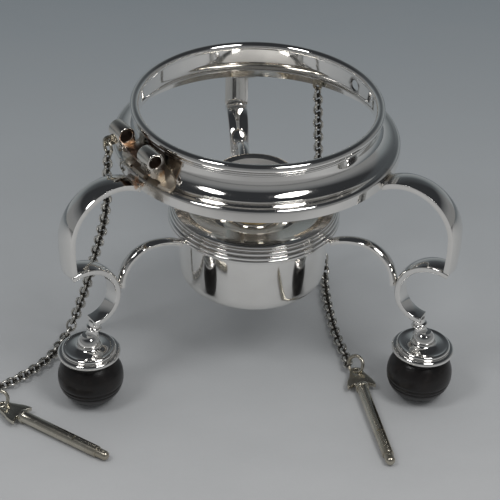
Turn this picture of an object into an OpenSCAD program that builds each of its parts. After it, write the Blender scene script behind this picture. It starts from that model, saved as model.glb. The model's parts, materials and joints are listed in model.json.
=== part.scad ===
// Stand and spirit burner of a table kettle: a spun collar on three scrolled legs
// with turned wood feet, a lift-out burner in a reeded holder, and two loose
// locking pins on chains that would hold the kettle's hinge and its front lug.
//
// Axes: +Z up, -Y towards the front, legs at 90, 210 and 330 degrees.
// Origin: on the collar's axis, level with the hinge pin's axis.
// Heights in this file are measured from the table top; from_table() places them.

/* [Collar] */
// Inside diameter of the collar's upright wall
collar_bore_d = 108.8; // [98:0.2:120]
// Thickness of the silver sheet
sheet = 1.0; // [0.8:0.1:1.3]
// Height of the top edge of the wall above the table
wall_top_h = 131.9; // [126:0.1:140]
// Height where the wall ends and the flange begins to sweep out
wall_foot_h = 125.05; // [124:0.05:126]
// Radius of the sweep from wall to flange
flange_turn_r = 8.4; // [7.6:0.1:8.8]
// How far the lip stands out from the wall's outside
lip_reach = 10.85; // [9:0.05:13]
// Height of the lip's bottom edge above the table
lip_foot_h = 110.3; // [107:0.1:112]
// Diameter of the bead wire on the wall's top edge
bead_d = 4.12; // [3.4:0.02:5]
// Height of each small reed under the bead
reed_pitch = 1.1; // [0.8:0.1:1.3]

/* [Kettle hinge] */
// Direction of the hinge, in degrees
hinge_az = 208; // [200:1:214]
// Distance of the hinge pin's axis from the collar wall's outside
hinge_out = 8.2; // [6.6:0.1:10.6]
// Height of the hinge pin's axis above the table
hinge_h = 129; // [128:0.1:131]
// Outside diameter of the hinge knuckles
knuckle_d = 8.4; // [7.4:0.1:9]
// Length of each knuckle
knuckle_len = 9.5; // [7:0.5:11]
// Direction of the lock hole in the wall, in degrees
lock_az = 29.8; // [24:0.2:36]
// Gap between the knuckles for the kettle's lug
lug_gap = 16.5; // [12:0.5:20]
// Radial clearance of a locking pin in its holes
pin_clear = 0.3; // [0.1:0.05:0.45]

/* [Legs] */
// Width of the upper scroll's strap
strap_w = 11.4; // [9:0.2:13]
// Thickness of the leg straps
strap_t = 3.6; // [2.8:0.1:4.4]
// Width of the lower scroll's strap where it leaves the upper one
scroll_w = 11; // [9:0.2:12]
// Width of the lower scroll's strap at the foot
scroll_foot_w = 7.6; // [6:0.2:9]
// Width of the arms that carry the burner holder
arm_w = 5.2; // [4:0.2:7]
// Thickness of the arms
arm_t = 2.6; // [2:0.1:3.2]

/* [Feet] */
// Distance of each foot from the collar's axis
foot_reach = 88.8; // [85:0.1:92]
// Diameter of the wood ball
ball_d = 30.6; // [26:0.2:33]
// Height of the ball's middle above the table
ball_mid_h = 13.5; // [12:0.1:15]
// Diameter of the silver cap over the ball
cap_d = 29.2; // [25:0.2:31]
// Outward lean of the foot, in degrees
foot_lean = 3; // [0:0.5:4]
// Diameter of the knop above the cap
knop_d = 10.4; // [8:0.2:12]
// Diameter of the stud through the ball
stud_d = 2.6; // [2.2:0.1:3.4]

/* [Burner] */
// Outside diameter of the burner pot below its rim
pot_d = 71.4; // [64:0.2:78]
// Height of the pot's underside above the table
pot_foot_h = 38.4; // [34:0.2:44]
// Height of the face that the burner's rim rests on
holder_top_h = 77; // [74:0.1:80]
// Radial clearance between the pot and its holder
pot_clear = 0.4; // [0.2:0.05:0.5]
// Width of the holder ring from its bore to its widest band
holder_band = 4.3; // [3.5:0.1:6]
// Outside diameter of the wick tube
wick_tube_d = 16; // [12:0.2:18]
// Diameter of the flared top of the snuffer cap
cap_top_d = 38.6; // [32:0.2:42]
// Height of the flared top above the table
cap_top_h = 94.5; // [90:0.1:98]

/* [Locking pins] */
// Diameter of a locking pin
pin_d = 5.4; // [4.4:0.1:6]
// Diameter of a pin's stepped tip
pin_tip_d = 4.5; // [3.8:0.1:5.2]
// Length of the hinge's pin, on the left chain
hinge_pin_len = 50; // [46:1:56]
// Length of the lock's pin, on the right chain
lock_pin_len = 58; // [50:1:64]
// Width of the thumb plate
thumb_w = 13.5; // [10:0.5:16]
// Length of the thumb plate
thumb_len = 14; // [11:0.5:17]
// Thickness of the thumb plate
thumb_t = 2; // [1.5:0.1:2.5]
// Width of the chain
chain_w = 4.6; // [4:0.1:5]

/* [Hidden] */

$fn = 96;
silver = "silver";
wood = [0.07, 0.05, 0.05];
tarnish = [0.62, 0.58, 0.52];

// Directions of the three legs
back_az = 91.6;
left_az = 210;
right_az = 330;

// Collar
bore_r = collar_bore_d / 2;
wall_r = bore_r + sheet;
lip_r = wall_r + lip_reach;
bead_r = bead_d / 2;
// How far the bead stands in past the bore
bead_proud = 0.2;
bead_ring_r = bore_r + bead_r - bead_proud;
lip_round = 1.85;
flange_fall = 0.15;
flange_root = [wall_r + flange_turn_r, wall_foot_h - flange_turn_r];
lip_top_h = flange_root[1] - flange_fall - lip_round;
sheet_mid_h = flange_root[1] - flange_fall - 0.15;
lock_hole_h = wall_top_h - 5.3;

// Hinge
bore_of_pin_r = pin_d / 2 + pin_clear;
hinge_reach = wall_r + hinge_out;
hinge_half = lug_gap / 2 + knuckle_len;
knuckle_r = knuckle_d / 2;
leaf_t = 1.0;
leaf_rise = 2.2;
leaf_r = 5.2;
leaf_reach = wall_r + 5;
leaf_end = hinge_half + 6.25;
near_leaf = [-3.4, leaf_end];
far_leaf = [-leaf_end, -4.4];
bridge_t = 1.2;
bridge_reach = lip_r - 0.4;
bridge_top_h = hinge_h - knuckle_r;

// Chain eyes: one tab outside the lip at the hinge's far end, one under the flange
eye_t = 1.2;
eye_r = 2.4;
eye_hole_r = 1.15;
eye_left = [lip_r + 2.9, -hinge_half + 2, bridge_top_h - 0.4];
eye_right_az = 58.4;
eye_right_reach = bore_r + 8.2;
eye_right_foot_h = lip_foot_h - 0.7;
link_r = 3.3;
link_wire_r = 0.75;

// Scrolls of a leg: middle lines made of arcs, each [centre, radius, first and last angle].
// The lower scroll stands over the foot. The upper one and the arm are drawn from the lip
// and from the holder as 0, and are then stretched to reach the lower scroll.
upper_tail = [[-85.05, 91.0], 120, -7.8, 0];
upper_arc = [[11.55, 91.0], 23.4, 0, 123];
lower_arc = [[foot_reach + 5.4, 56.3], 18.4, 63, 180];
lower_hook = [[foot_reach + 0.1, 56.3], 13.1, 180, 262];
arm_arc = [[15.8, 58.6], 16.9, -6, 90];
arm_tail = [[15.8, 46.6], 28.9, 90, 123];
upper_drawn = 33.85;
upper_end = foot_reach + 11.3;
arm_drawn = 32.6;
arm_end = foot_reach - 15.8;
crown = 1.1;

// Feet
ball_half_h = ball_mid_h + 0.7;
cap_seat = ball_half_h - 1.8;
neck_lean = 13;
neck_r = 3.3;
neck_top_h = 44;
knop_up = cap_seat + 6.2;
stud_clear = 0.15;
nut_r = 2.3;
nut_h = 2.2;
nut_clear = 0.2;
nut_seat = cap_seat - 3;

// Burner
pot_r = pot_d / 2;
pot_wall = 0.8;
pot_round = 8;
pot_foot_r = pot_r - 1.2;
pot_in_r = pot_r - pot_wall;
guide_h = 66;
holder_bore_r = pot_r + pot_clear;
holder_r = holder_bore_r + holder_band;
holder_foot_h = holder_top_h - 6.3;
rim_r = pot_r + 3.4;
rim_h = 2.3;
top_seat_h = holder_top_h - 1.2;
flange_plate_r = wick_tube_d / 2 + 5;
flange_plate_h = 0.9;
wick_tube_wall = 1.0;
wick_clear = 0.2;
wick_hole_clear = 0.25;
wick_tube_foot_h = 58;
wick_tube_top_h = 86;
wick_foot_h = 42;
wick_top_h = 88.4;
plate_h = holder_top_h - 0.9;
cap_foot_h = plate_h + flange_plate_h;
cap_foot_r = wick_tube_d / 2 + 4.4;
cap_waist_r = wick_tube_d / 2 + 2.6;
cap_wall = 0.9;
cap_dish = 2.6;
cap_steps = 16;

// Locking pins lie on the table, each rod pointing from its head to its tip
hinge_pin_head = [-108.7, -61.9];
hinge_pin_az = -38;
lock_pin_head = [50.6, -42.6];
lock_pin_az = -82.3;
pin_collar_r = pin_d / 2 + 0.6;
pin_collar_h = 1.8;
pin_tip_len = 6;
thumb_hole_r = 1.9;
thumb_hole_in = 3.0;
thumb_neck = 3.3;
ring_r = 4.0;
ring_wire_r = 0.85;
ring_rise = 53;
ring_roll = 45;

// Chains: points along the middle of each free stretch, heights from the table
chain_r = chain_w / 2;
left_route = [
  [-68.7, -17.4, 111], [-68.9, -15.4, 100], [-69.2, -12.4, 87], [-70.6, -9, 74],
  [-72.4, -6.6, 64], [-74.4, -3.8, 54], [-76.6, -1, 42], [-79, 1.6, 31],
  [-81.8, 4, 20], [-84.4, 5, 11.5], [-86.8, 4, 5.6], [-88.8, 0.8, 2.8],
  [-91, -4.4, chain_r], [-95.4, -14.2, chain_r], [-101, -22, chain_r], [-108, -29.8, chain_r],
  [-116, -36.6, chain_r], [-124, -41.4, chain_r], [-129.6, -45, chain_r], [-131.6, -49.4, chain_r],
  [-129.4, -52.8, 2.8]
];
right_route = [
  [33.4, 54.2, 104], [34.1, 55, 92], [34.9, 56, 78], [35.8, 57, 64],
  [36.9, 58, 50], [38, 58.8, 37], [39.2, 59.4, 25], [40.4, 58.8, 14],
  [41.2, 56.4, 6.8], [41.2, 51.4, 3], [40.6, 45, chain_r], [40.4, 35, chain_r],
  [40.5, 25, chain_r], [41, 15, chain_r], [41.8, 4, chain_r], [43.2, -7, chain_r],
  [44.8, -15, chain_r], [45.6, -21.6, 3.2]
];

// ---- helpers ----

// Moves a shape drawn from the table top into the part's own frame.
module from_table() { translate([0, 0, -hinge_h]) children(); }

// Turns a shape drawn along +X into the direction az.
module towards(az) { rotate([0, 0, az]) children(); }

// Points of an arc in a profile.
function arc(centre, r, a0, a1, steps = 10) =
  [for (i = [0:steps]) centre + r * [cos(a0 + (a1 - a0) * i / steps), sin(a0 + (a1 - a0) * i / steps)]];

// Middle line made of two arcs that meet end to end.
function two_arcs(a, b, steps_a, steps_b) = concat(
  arc(a[0], a[1], a[2], a[3], steps_a),
  [for (i = [1:steps_b]) arc(b[0], b[1], b[2], b[3], steps_b)[i]]
);

// Offsets [out, across] round a strap's section: crowned outside, flat inside.
function strap_section(w, t) = concat(
  [for (i = [0:6]) let (v = i / 3 - 1) [t / 2 - crown * v * v, v * w / 2]],
  [[-t / 2, w / 2], [-t / 2, -w / 2]]
);

// Strap that follows a middle line in the leg's upright plane and narrows from w0 to w1.
module strap(line, w0, w1, t) {
  last = len(line) - 1;
  n = 9;
  points = [for (i = [0:last])
    let (d = heading(line, i), w = w0 + (w1 - w0) * i / last)
    each [for (q = strap_section(w, t)) [line[i][0] + q[0] * d[1], q[1], line[i][1] - q[0] * d[0]]]];
  sides = [for (i = [0:last - 1]) for (k = [0:n - 1])
    let (a = n * i + k, b = n * i + (k + 1) % n) each [[a, b, b + n], [a, b + n, a + n]]];
  polyhedron(points = points, faces = concat(
    sides, [[for (k = [n - 1:-1:0]) k], [for (k = [0:n - 1]) n * last + k]]
  ));
}

function unit(v) = v / norm(v);

// Direction of a line at its point i.
function heading(p, i) = unit(p[min(i + 1, len(p) - 1)] - p[max(i - 1, 0)]);

// ---- collar ----

module collar_sheet() {
  rotate_extrude($fn = 180) polygon(concat(
    [[bore_r, wall_top_h], [wall_r, wall_top_h]],
    collar_sweep(),
    [[lip_r - sheet, lip_foot_h]],
    arc([lip_r - lip_round, lip_top_h], lip_round - sheet, 0, 90),
    arc([flange_root[0], wall_foot_h], flange_turn_r + sheet, 270, 180, 16)
  ));
}

// Outer face of the collar from the wall's foot to the lip's foot.
function collar_sweep() = concat(
  arc([flange_root[0], wall_foot_h], flange_turn_r, 180, 270, 16),
  arc([lip_r - lip_round, lip_top_h], lip_round, 90, 0),
  [[lip_r, lip_foot_h]]
);

// Everything inside the collar's outer face, which cuts what stands on that face.
module collar_inside() {
  rotate_extrude($fn = 180) polygon(concat(
    [[0, lip_foot_h], [0, wall_top_h], [wall_r, wall_top_h]],
    collar_sweep()
  ));
}

module bead_wire() {
  rotate_extrude($fn = 180) translate([bead_ring_r, wall_top_h]) circle(bead_r, $fn = 32);
}

module lock_hole() {
  towards(lock_az) translate([bore_r - 3, 0, lock_hole_h]) rotate([0, 90, 0])
    cylinder(r = bore_of_pin_r, h = 8);
}

module collar() {
  color(silver) from_table() difference() {
    collar_sheet();
    bead_wire();
    lock_hole();
  }
}

// Bead wire on the wall's edge.
module collar_bead() {
  color(silver) from_table() bead_wire();
}

// Band of two reeds soldered round the wall under the bead.
module collar_reeds() {
  top_h = wall_top_h - bead_r + 0.1;
  color(silver) from_table() difference() {
    rotate_extrude($fn = 180) polygon(concat(
      [[wall_r, top_h - 2 * reed_pitch], [wall_r + 0.5, top_h - 2 * reed_pitch]],
      arc([wall_r + 0.5, top_h - 1.5 * reed_pitch], reed_pitch * 0.46, -70, 70, 8),
      arc([wall_r + 0.5, top_h - 0.5 * reed_pitch], reed_pitch * 0.46, -70, 70, 8),
      [[wall_r + 0.5, top_h], [wall_r, top_h]]
    ));
    bead_wire();
    lock_hole();
  }
}

// ---- hinge ----

// Outline of the plate that lies over the wall's turn and the flange.
module leaf_profile() {
  polygon(concat(
    [[wall_r - 0.4, wall_foot_h + leaf_rise], [wall_r + leaf_t, wall_foot_h + leaf_rise]],
    arc([flange_root[0], wall_foot_h], flange_turn_r - leaf_t, 180, 262, 14),
    [[lip_r - lip_round, lip_top_h + lip_round + leaf_t], [lip_r - lip_round + 0.8, lip_top_h + lip_round]],
    [[lip_r - lip_round, lip_top_h + lip_round - 0.3]],
    arc([flange_root[0], wall_foot_h], flange_turn_r + 0.4, 268, 180, 14)
  ));
}

// Long leaf with round ends, from span[0] to span[1] along the hinge line.
module hinge_leaf(span) {
  color(silver) from_table() difference() {
    intersection() {
      rotate_extrude($fn = 180) leaf_profile();
      towards(hinge_az) linear_extrude(height = wall_top_h) {
        for (s = [span[0] + leaf_r, span[1] - leaf_r]) translate([leaf_reach, s]) circle(leaf_r);
        translate([leaf_reach - leaf_r, span[0] + leaf_r])
          square([2 * leaf_r, span[1] - span[0] - 2 * leaf_r]);
      }
    }
    collar_inside();
    for (side = [-1, 1]) towards(hinge_az) knuckle_shape(side);
    bridge_shape();
  }
}

// Shelf between the knuckles, which the kettle's lug swings over.
module bridge_shape() {
  towards(hinge_az) translate([bore_r, -lug_gap / 2, bridge_top_h - bridge_t])
    cube([bridge_reach - bore_r, lug_gap, bridge_t]);
}

module hinge_bridge() {
  color(silver) from_table() difference() {
    bridge_shape();
    collar_inside();
  }
}

// Round top of a knuckle and the flat-sided block that stands on the flange.
module knuckle_shape(side) {
  from_y = side > 0 ? lug_gap / 2 : -hinge_half;
  translate([hinge_reach, from_y, hinge_h]) rotate([-90, 0, 0]) cylinder(r = knuckle_r, h = knuckle_len);
  translate([hinge_reach - knuckle_r, from_y, sheet_mid_h])
    cube([bridge_reach - hinge_reach + knuckle_r, knuckle_len, hinge_h - sheet_mid_h]);
}

module hinge_knuckle(side) {
  color(silver) from_table() difference() {
    towards(hinge_az) difference() {
      knuckle_shape(side);
      translate([hinge_reach, -hinge_half - 1, hinge_h]) rotate([-90, 0, 0])
        cylinder(r = bore_of_pin_r, h = 2 * hinge_half + 2);
    }
    collar_inside();
  }
}

// ---- chain eyes ----

// Upright tab with a hole across it, held at its side or at its top.
module eye_tab(side_len, top_len) {
  rotate([90, 0, 0]) translate([0, 0, -eye_t / 2]) linear_extrude(height = eye_t) difference() {
    union() {
      circle(eye_r, $fn = 32);
      translate([-side_len, -eye_r]) square([side_len, 2 * eye_r]);
      translate([-eye_r, 0]) square([2 * eye_r, top_len]);
    }
    circle(eye_hole_r, $fn = 32);
  }
}

module chain_eye_left() {
  color(tarnish) from_table() difference() {
    towards(hinge_az) difference() {
      translate(eye_left) eye_tab(lip_r, 0.1);
      translate([0, eye_left[1] - eye_t, 0]) cube([bridge_reach, 2 * eye_t, wall_top_h]);
      knuckle_shape(-1);
    }
    collar_sheet();
  }
}

module chain_eye_right() {
  color(tarnish) from_table() difference() {
    towards(eye_right_az) translate([eye_right_reach, 0, eye_right_foot_h + eye_r]) rotate([0, 0, 90])
      eye_tab(0.1, sheet_mid_h - eye_right_foot_h - eye_r);
    collar_sheet();
  }
}

// Wire link that hangs in the left eye and carries the chain.
module chain_link_left() {
  color(tarnish) from_table() towards(hinge_az) translate(eye_left - [0, 0, link_r]) rotate([0, 90, 0])
    rotate_extrude() translate([link_r, 0]) circle(link_wire_r, $fn = 24);
}

// ---- legs ----

// Line whose reach is stretched so that 0 comes to from and drawn comes to end.
function stretched(line, from, drawn, end) =
  [for (p = line) [from + p[0] * ((end - from) / drawn), p[1]]];

module upper_scroll() {
  line = two_arcs(upper_tail, upper_arc, 2, 14);
  strap(stretched(line, lip_r, upper_drawn, upper_end), strap_w, strap_w, strap_t);
}

module lower_scroll() { strap(two_arcs(lower_arc, lower_hook, 12, 8), scroll_w, scroll_foot_w, strap_t); }

// Everything inside the crowned face of one arc of a scroll.
module inside_scroll(a) {
  translate([a[0][0], 0, a[0][1]]) rotate([90, 0, 0])
    cylinder(r = a[1] + strap_t / 2, h = 4 * strap_w, center = true);
}

module leg_upper(az) {
  color(silver) from_table() difference() {
    towards(az) difference() {
      upper_scroll();
      inside_scroll(lower_arc);
    }
    cylinder(r = lip_r, h = wall_top_h, $fn = 180);
  }
}

module leg_lower(az) {
  color(silver) from_table() towards(az) lower_scroll();
}

module burner_arm(az) {
  line = two_arcs(arm_arc, arm_tail, 9, 4);
  color(silver) from_table() difference() {
    towards(az) difference() {
      strap(stretched(line, holder_r, arm_drawn, arm_end), arm_w, arm_w, arm_t);
      inside_scroll(lower_arc);
    }
    cylinder(r = holder_r, h = holder_top_h, $fn = 120);
  }
}

// ---- feet ----

// Places a shape drawn on the ball's own axis, with its middle at 0.
module on_foot(az) {
  towards(az) translate([foot_reach, 0, ball_mid_h]) rotate([0, foot_lean, 0]) children();
}

module foot_cap(az) {
  cap_r = cap_d / 2;
  color(silver) from_table() difference() {
    union() {
      on_foot(az) {
        rotate_extrude() polygon(concat(
          [[0, cap_seat], [cap_r - 1.4, cap_seat]],
          arc([cap_r - 1.3, cap_seat + 1.3], 1.3, -90, 90, 8),
          arc([cap_r - 3.1, cap_seat + 3.2], 1.1, -45, 100, 8),
          [[cap_r - 4.2, cap_seat + 3.7], [6, cap_seat + 4.7]],
          [[knop_d / 2 - 0.6, cap_seat + 5.4], [0, cap_seat + 6]]
        ));
        translate([0, 0, knop_up]) sphere(d = knop_d);
      }
      towards(az) translate([foot_reach, 0, ball_mid_h + knop_up]) rotate([0, -neck_lean, 0]) {
        cylinder(r = neck_r, h = neck_top_h - ball_mid_h - knop_up);
        translate([0, 0, 7.2]) cylinder(r = neck_r + 0.8, h = 1.4);
      }
    }
    towards(az) inside_scroll(lower_hook);
    on_foot(az) translate([0, 0, cap_seat - 1]) cylinder(d = stud_d, h = 5);
  }
}

module foot_ball(az) {
  groove_r = 0.4;
  color(wood) from_table() difference() {
    on_foot(az) difference() {
      rotate_extrude() polygon(concat(
        [[0, -ball_half_h]],
        [for (a = [-90:6:90]) [ball_d / 2 * cos(a), ball_half_h * sin(a)]],
        [[0, ball_half_h]]
      ));
      translate([0, 0, cap_seat]) cylinder(d = ball_d, h = ball_half_h);
      for (up = [-2.2, -4.4])
        rotate_extrude() translate([ball_d / 2 * sqrt(1 - pow(up / ball_half_h, 2)), up])
          circle(groove_r, $fn = 16);
      translate([0, 0, -ball_half_h]) cylinder(r = stud_d / 2 + stud_clear, h = 2 * ball_half_h);
      translate([0, 0, -ball_half_h - 1]) cylinder(r = nut_r + nut_clear, h = ball_half_h + 1 - nut_seat);
    }
    translate([-200, -200, -20]) cube([400, 400, 20]);
  }
}

module foot_stud(az) {
  color(silver) from_table() on_foot(az) translate([0, 0, -nut_seat - nut_h])
    cylinder(d = stud_d, h = nut_seat + nut_h + cap_seat + 4);
}

module foot_nut(az) {
  color("goldenrod") from_table() on_foot(az) translate([0, 0, -nut_seat - nut_h]) difference() {
    cylinder(r = nut_r, h = nut_h);
    translate([0, 0, -1]) cylinder(d = stud_d, h = nut_h + 2);
  }
}

// ---- burner ----

module holder_ring_shape() {
  rotate_extrude($fn = 120) polygon(concat(
    [[holder_bore_r, holder_foot_h], [holder_r - 1.2, holder_foot_h]],
    arc([holder_r - 1.2, holder_foot_h + 1.2], 1.2, -90, 0, 5),
    arc([holder_r - 1.2, holder_foot_h + 2.8], 1.2, 0, 70, 5),
    arc([holder_r - 1.7, holder_top_h - 1.05], 1.05, -60, 90, 8),
    [[holder_bore_r, holder_top_h]]
  ));
}

module burner_holder() {
  color(silver) from_table() holder_ring_shape();
}

module burner_pot() {
  color(silver) from_table() rotate_extrude($fn = 120) polygon(concat(
    [[0, pot_foot_h]],
    arc([pot_foot_r - pot_round, pot_foot_h + pot_round], pot_round, -90, 0),
    [[pot_r, guide_h], [pot_r, holder_top_h], [pot_r, holder_top_h + rim_h]],
    [[pot_in_r, holder_top_h + rim_h], [pot_in_r, guide_h]],
    arc([pot_foot_r - pot_round, pot_foot_h + pot_round], pot_round - pot_wall, 0, -90),
    [[0, pot_foot_h + pot_wall]]
  ));
}

// Reeded wire round the pot's mouth, which rests on the holder.
module burner_rim() {
  color(silver) from_table() rotate_extrude($fn = 120) polygon(concat(
    [[pot_r, holder_top_h], [rim_r - rim_h / 2, holder_top_h]],
    arc([rim_r - rim_h / 2, holder_top_h + rim_h / 2], rim_h / 2, -90, 90, 10),
    [[pot_r, holder_top_h + rim_h]]
  ));
}

// Dished plate that closes the pot, stepped twice, open in the middle.
module burner_top() {
  seat_in = wick_tube_d / 2 + wick_hole_clear;
  flat_r = flange_plate_r + 1.5;
  step_r = pot_in_r - 12.4;
  shelf_h = top_seat_h + 2.4;
  color(tarnish) from_table() rotate_extrude($fn = 120) polygon([
    [seat_in, plate_h - 0.8], [seat_in, plate_h], [flat_r, plate_h], [step_r - 0.5, plate_h - 0.5],
    [step_r, plate_h], [pot_in_r - 4.4, plate_h + 0.6], [pot_in_r - 3.7, shelf_h], [pot_in_r, shelf_h],
    [pot_in_r, shelf_h - 0.8], [pot_in_r - 3.1, shelf_h - 0.8], [pot_in_r - 3.9, plate_h - 0.2],
    [step_r, plate_h - 0.8], [step_r - 0.5, plate_h - 1.3], [flat_r, plate_h - 0.8]
  ]);
}

module wick_tube() {
  outer = wick_tube_d / 2;
  color("tan") from_table() difference() {
    union() {
      translate([0, 0, wick_tube_foot_h]) cylinder(r = outer, h = wick_tube_top_h - wick_tube_foot_h);
      translate([0, 0, plate_h]) cylinder(r = flange_plate_r, h = flange_plate_h);
    }
    translate([0, 0, wick_tube_foot_h - 1])
      cylinder(r = outer - wick_tube_wall, h = wick_tube_top_h - wick_tube_foot_h + 2);
  }
}

module wick() {
  color("ivory") from_table() translate([0, 0, wick_foot_h])
    cylinder(r = wick_tube_d / 2 - wick_tube_wall - wick_clear, h = wick_top_h - wick_foot_h);
}

// Half width of the snuffer cap's waisted side at a height from 0 to 1.
function cap_side(v) = cap_waist_r + (cap_foot_r - cap_waist_r) * pow(1 - v, 6)
  + (cap_top_d / 2 - cap_waist_r) * pow(v, 3.2);

// Point i of the cap's side, at a depth in from its outer face.
function cap_point(i, depth) =
  [cap_side(i / cap_steps) - depth, cap_foot_h + (cap_top_h - cap_foot_h) * i / cap_steps];

module snuffer_cap() {
  color(silver) from_table() rotate_extrude() polygon(concat(
    [for (i = [0:cap_steps]) cap_point(i, 0)],
    [for (i = [cap_steps:-1:0]) cap_point(i, cap_wall)]
  ));
}

// Dished disc soldered inside the cap's flare.
module snuffer_top() {
  edge = cap_point(cap_steps - 1, cap_wall);
  under_edge = cap_point(cap_steps - 2, cap_wall);
  r = edge[0];
  h = edge[1];
  color(silver) from_table() rotate_extrude() polygon([
    [0, h - cap_dish], [r * 0.55, h - cap_dish * 0.7], edge,
    under_edge, [r * 0.5, h - cap_dish * 0.7 - 0.8], [0, h - cap_dish - 0.8]
  ]);
}

// ---- locking pins and chains ----

// Places a shape drawn with the rod along +X from the head, lying on the table.
module lying(head, az, len) {
  translate([head[0], head[1], pin_collar_r]) rotate([0, 0, az]) rotate([0, pin_tilt(len), 0]) children();
}

function pin_tilt(len) = asin((pin_collar_r - pin_d / 2) / (len - pin_tip_len));

module locking_pin(head, az, len) {
  tip_r = pin_tip_d / 2;
  color(tarnish) from_table() lying(head, az, len) {
    rotate([0, 90, 0]) cylinder(r = pin_collar_r, h = pin_collar_h);
    rotate([0, 90, 0]) cylinder(d = pin_d, h = len - pin_tip_len);
    rotate([0, 90, 0]) cylinder(r = tip_r, h = len - tip_r);
    translate([len - tip_r, 0, 0]) sphere(tip_r);
  }
}

// Flat heart-shaped grip, two barbs beside the collar and a holed end.
module thumb_plate(head, az, len) {
  half = thumb_w / 2;
  color(tarnish) from_table() lying(head, az, len) translate([0, 0, -thumb_t / 2])
    linear_extrude(height = thumb_t) difference() {
      polygon([
        [0, -1.6], [-1.2, -3.2], [0.6, -half], [-2.4, -half + 0.3], [-6, -half * 0.74],
        [-thumb_len + 3, -thumb_neck], [-thumb_len + 0.8, -thumb_neck * 0.8],
        [-thumb_len, -thumb_neck * 0.3], [-thumb_len, thumb_neck * 0.3],
        [-thumb_len + 0.8, thumb_neck * 0.8], [-thumb_len + 3, thumb_neck],
        [-6, half * 0.74], [-2.4, half - 0.3], [0.6, half], [-1.2, 3.2], [0, 1.6]
      ]);
      translate([thumb_hole_in - thumb_len, 0]) circle(thumb_hole_r, $fn = 32);
    }
}

// Wire ring through the thumb plate's hole, leaning back from it.
module pin_ring(head, az, len) {
  color(tarnish) from_table() lying(head, az, len) translate([thumb_hole_in - thumb_len, 0, 0])
    rotate([0, ring_rise, 0]) translate([-ring_r, 0, 0]) rotate([ring_roll, 0, 0])
      rotate_extrude() translate([ring_r, 0]) circle(ring_wire_r, $fn = 24);
}

// Side of a pin's ring where its chain is linked on.
function ring_side(head, az) =
  let (x = thumb_hole_in - thumb_len - ring_r * (cos(ring_rise) + sin(ring_roll) * sin(ring_rise)),
       y = -ring_r * cos(ring_roll),
       z = ring_r * (sin(ring_rise) - sin(ring_roll) * cos(ring_rise)))
  [head[0] + x * cos(az) - y * sin(az), head[1] + x * sin(az) + y * cos(az), pin_collar_r + z];

// Whole middle line of each chain, from its eye to its pin's ring.
function left_chain() = concat([left_hang()], left_route, [ring_side(hinge_pin_head, hinge_pin_az)]);
function right_chain() = concat([right_hang()], right_route, [ring_side(lock_pin_head, lock_pin_az)]);

// Lowest point of the link in the left eye, and the foot of the right eye.
function left_hang() =
  [eye_left[0] * cos(hinge_az) - eye_left[1] * sin(hinge_az),
   eye_left[0] * sin(hinge_az) + eye_left[1] * cos(hinge_az), eye_left[2] - 2 * link_r];
function right_hang() =
  [eye_right_reach * cos(eye_right_az), eye_right_reach * sin(eye_right_az), eye_right_foot_h];

// Points of an eight-sided ring of radius r square to the route at point i.
function ring_points(p, i, r) =
  let (t = heading(p, i), side = unit(cross(t, [0.35, 1, 0.1])), up = cross(side, t))
  [for (k = [0:7]) p[i] + r * (cos(45 * k) * side + sin(45 * k) * up)];

// Tube of one chain, swept along its route.
module chain_tube(route) {
  rings = len(route);
  points = [for (i = [0:rings - 1]) each ring_points(route, i, chain_w / 2)];
  sides = [for (i = [0:rings - 2]) for (k = [0:7])
    [8 * i + k, 8 * i + (k + 1) % 8, 8 * (i + 1) + (k + 1) % 8, 8 * (i + 1) + k]];
  color(tarnish) from_table() polyhedron(
    points = points,
    faces = concat(sides, [[for (k = [7:-1:0]) k], [for (k = [0:7]) 8 * (rings - 1) + k]])
  );
}

collar();
collar_bead();
collar_reeds();
hinge_leaf(near_leaf);  // hinge_leaf_near
hinge_leaf(far_leaf);  // hinge_leaf_far
hinge_bridge();
hinge_knuckle(1);  // hinge_knuckle_near
hinge_knuckle(-1);  // hinge_knuckle_far
chain_eye_left();
chain_eye_right();
chain_link_left();
leg_upper(back_az);  // leg_upper_back
leg_upper(left_az);  // leg_upper_left
leg_upper(right_az);  // leg_upper_right
leg_lower(back_az);  // leg_lower_back
leg_lower(left_az);  // leg_lower_left
leg_lower(right_az);  // leg_lower_right
burner_arm(back_az);  // burner_arm_back
burner_arm(left_az);  // burner_arm_left
burner_arm(right_az);  // burner_arm_right
foot_cap(back_az);  // foot_cap_back
foot_cap(left_az);  // foot_cap_left
foot_cap(right_az);  // foot_cap_right
foot_ball(back_az);  // foot_ball_back
foot_ball(left_az);  // foot_ball_left
foot_ball(right_az);  // foot_ball_right
foot_stud(back_az);  // foot_stud_back
foot_stud(left_az);  // foot_stud_left
foot_stud(right_az);  // foot_stud_right
foot_nut(back_az);  // foot_nut_back
foot_nut(left_az);  // foot_nut_left
foot_nut(right_az);  // foot_nut_right
burner_holder();
burner_pot();
burner_rim();
burner_top();
wick_tube();
wick();
snuffer_cap();
snuffer_top();
chain_tube(left_chain());  // chain_left
chain_tube(right_chain());  // chain_right
locking_pin(hinge_pin_head, hinge_pin_az, hinge_pin_len);  // pin_left
locking_pin(lock_pin_head, lock_pin_az, lock_pin_len);  // pin_right
thumb_plate(hinge_pin_head, hinge_pin_az, hinge_pin_len);  // thumb_plate_left
thumb_plate(lock_pin_head, lock_pin_az, lock_pin_len);  // thumb_plate_right
pin_ring(hinge_pin_head, hinge_pin_az, hinge_pin_len);  // pin_ring_left
pin_ring(lock_pin_head, lock_pin_az, lock_pin_len);  // pin_ring_right
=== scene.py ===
"""Looks of a table kettle's stand: collar, scrolled legs, spirit burner, chained pins.

Sizes are in millimetres and heights are from the table top, as a maker would write
them; the bench turns them into metres in the model's own frame.
"""

from __future__ import annotations

import json
import logging
import math
from dataclasses import dataclass, field
from enum import Enum
from typing import Sequence

import bpy
from mathutils import Matrix, Vector

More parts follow.
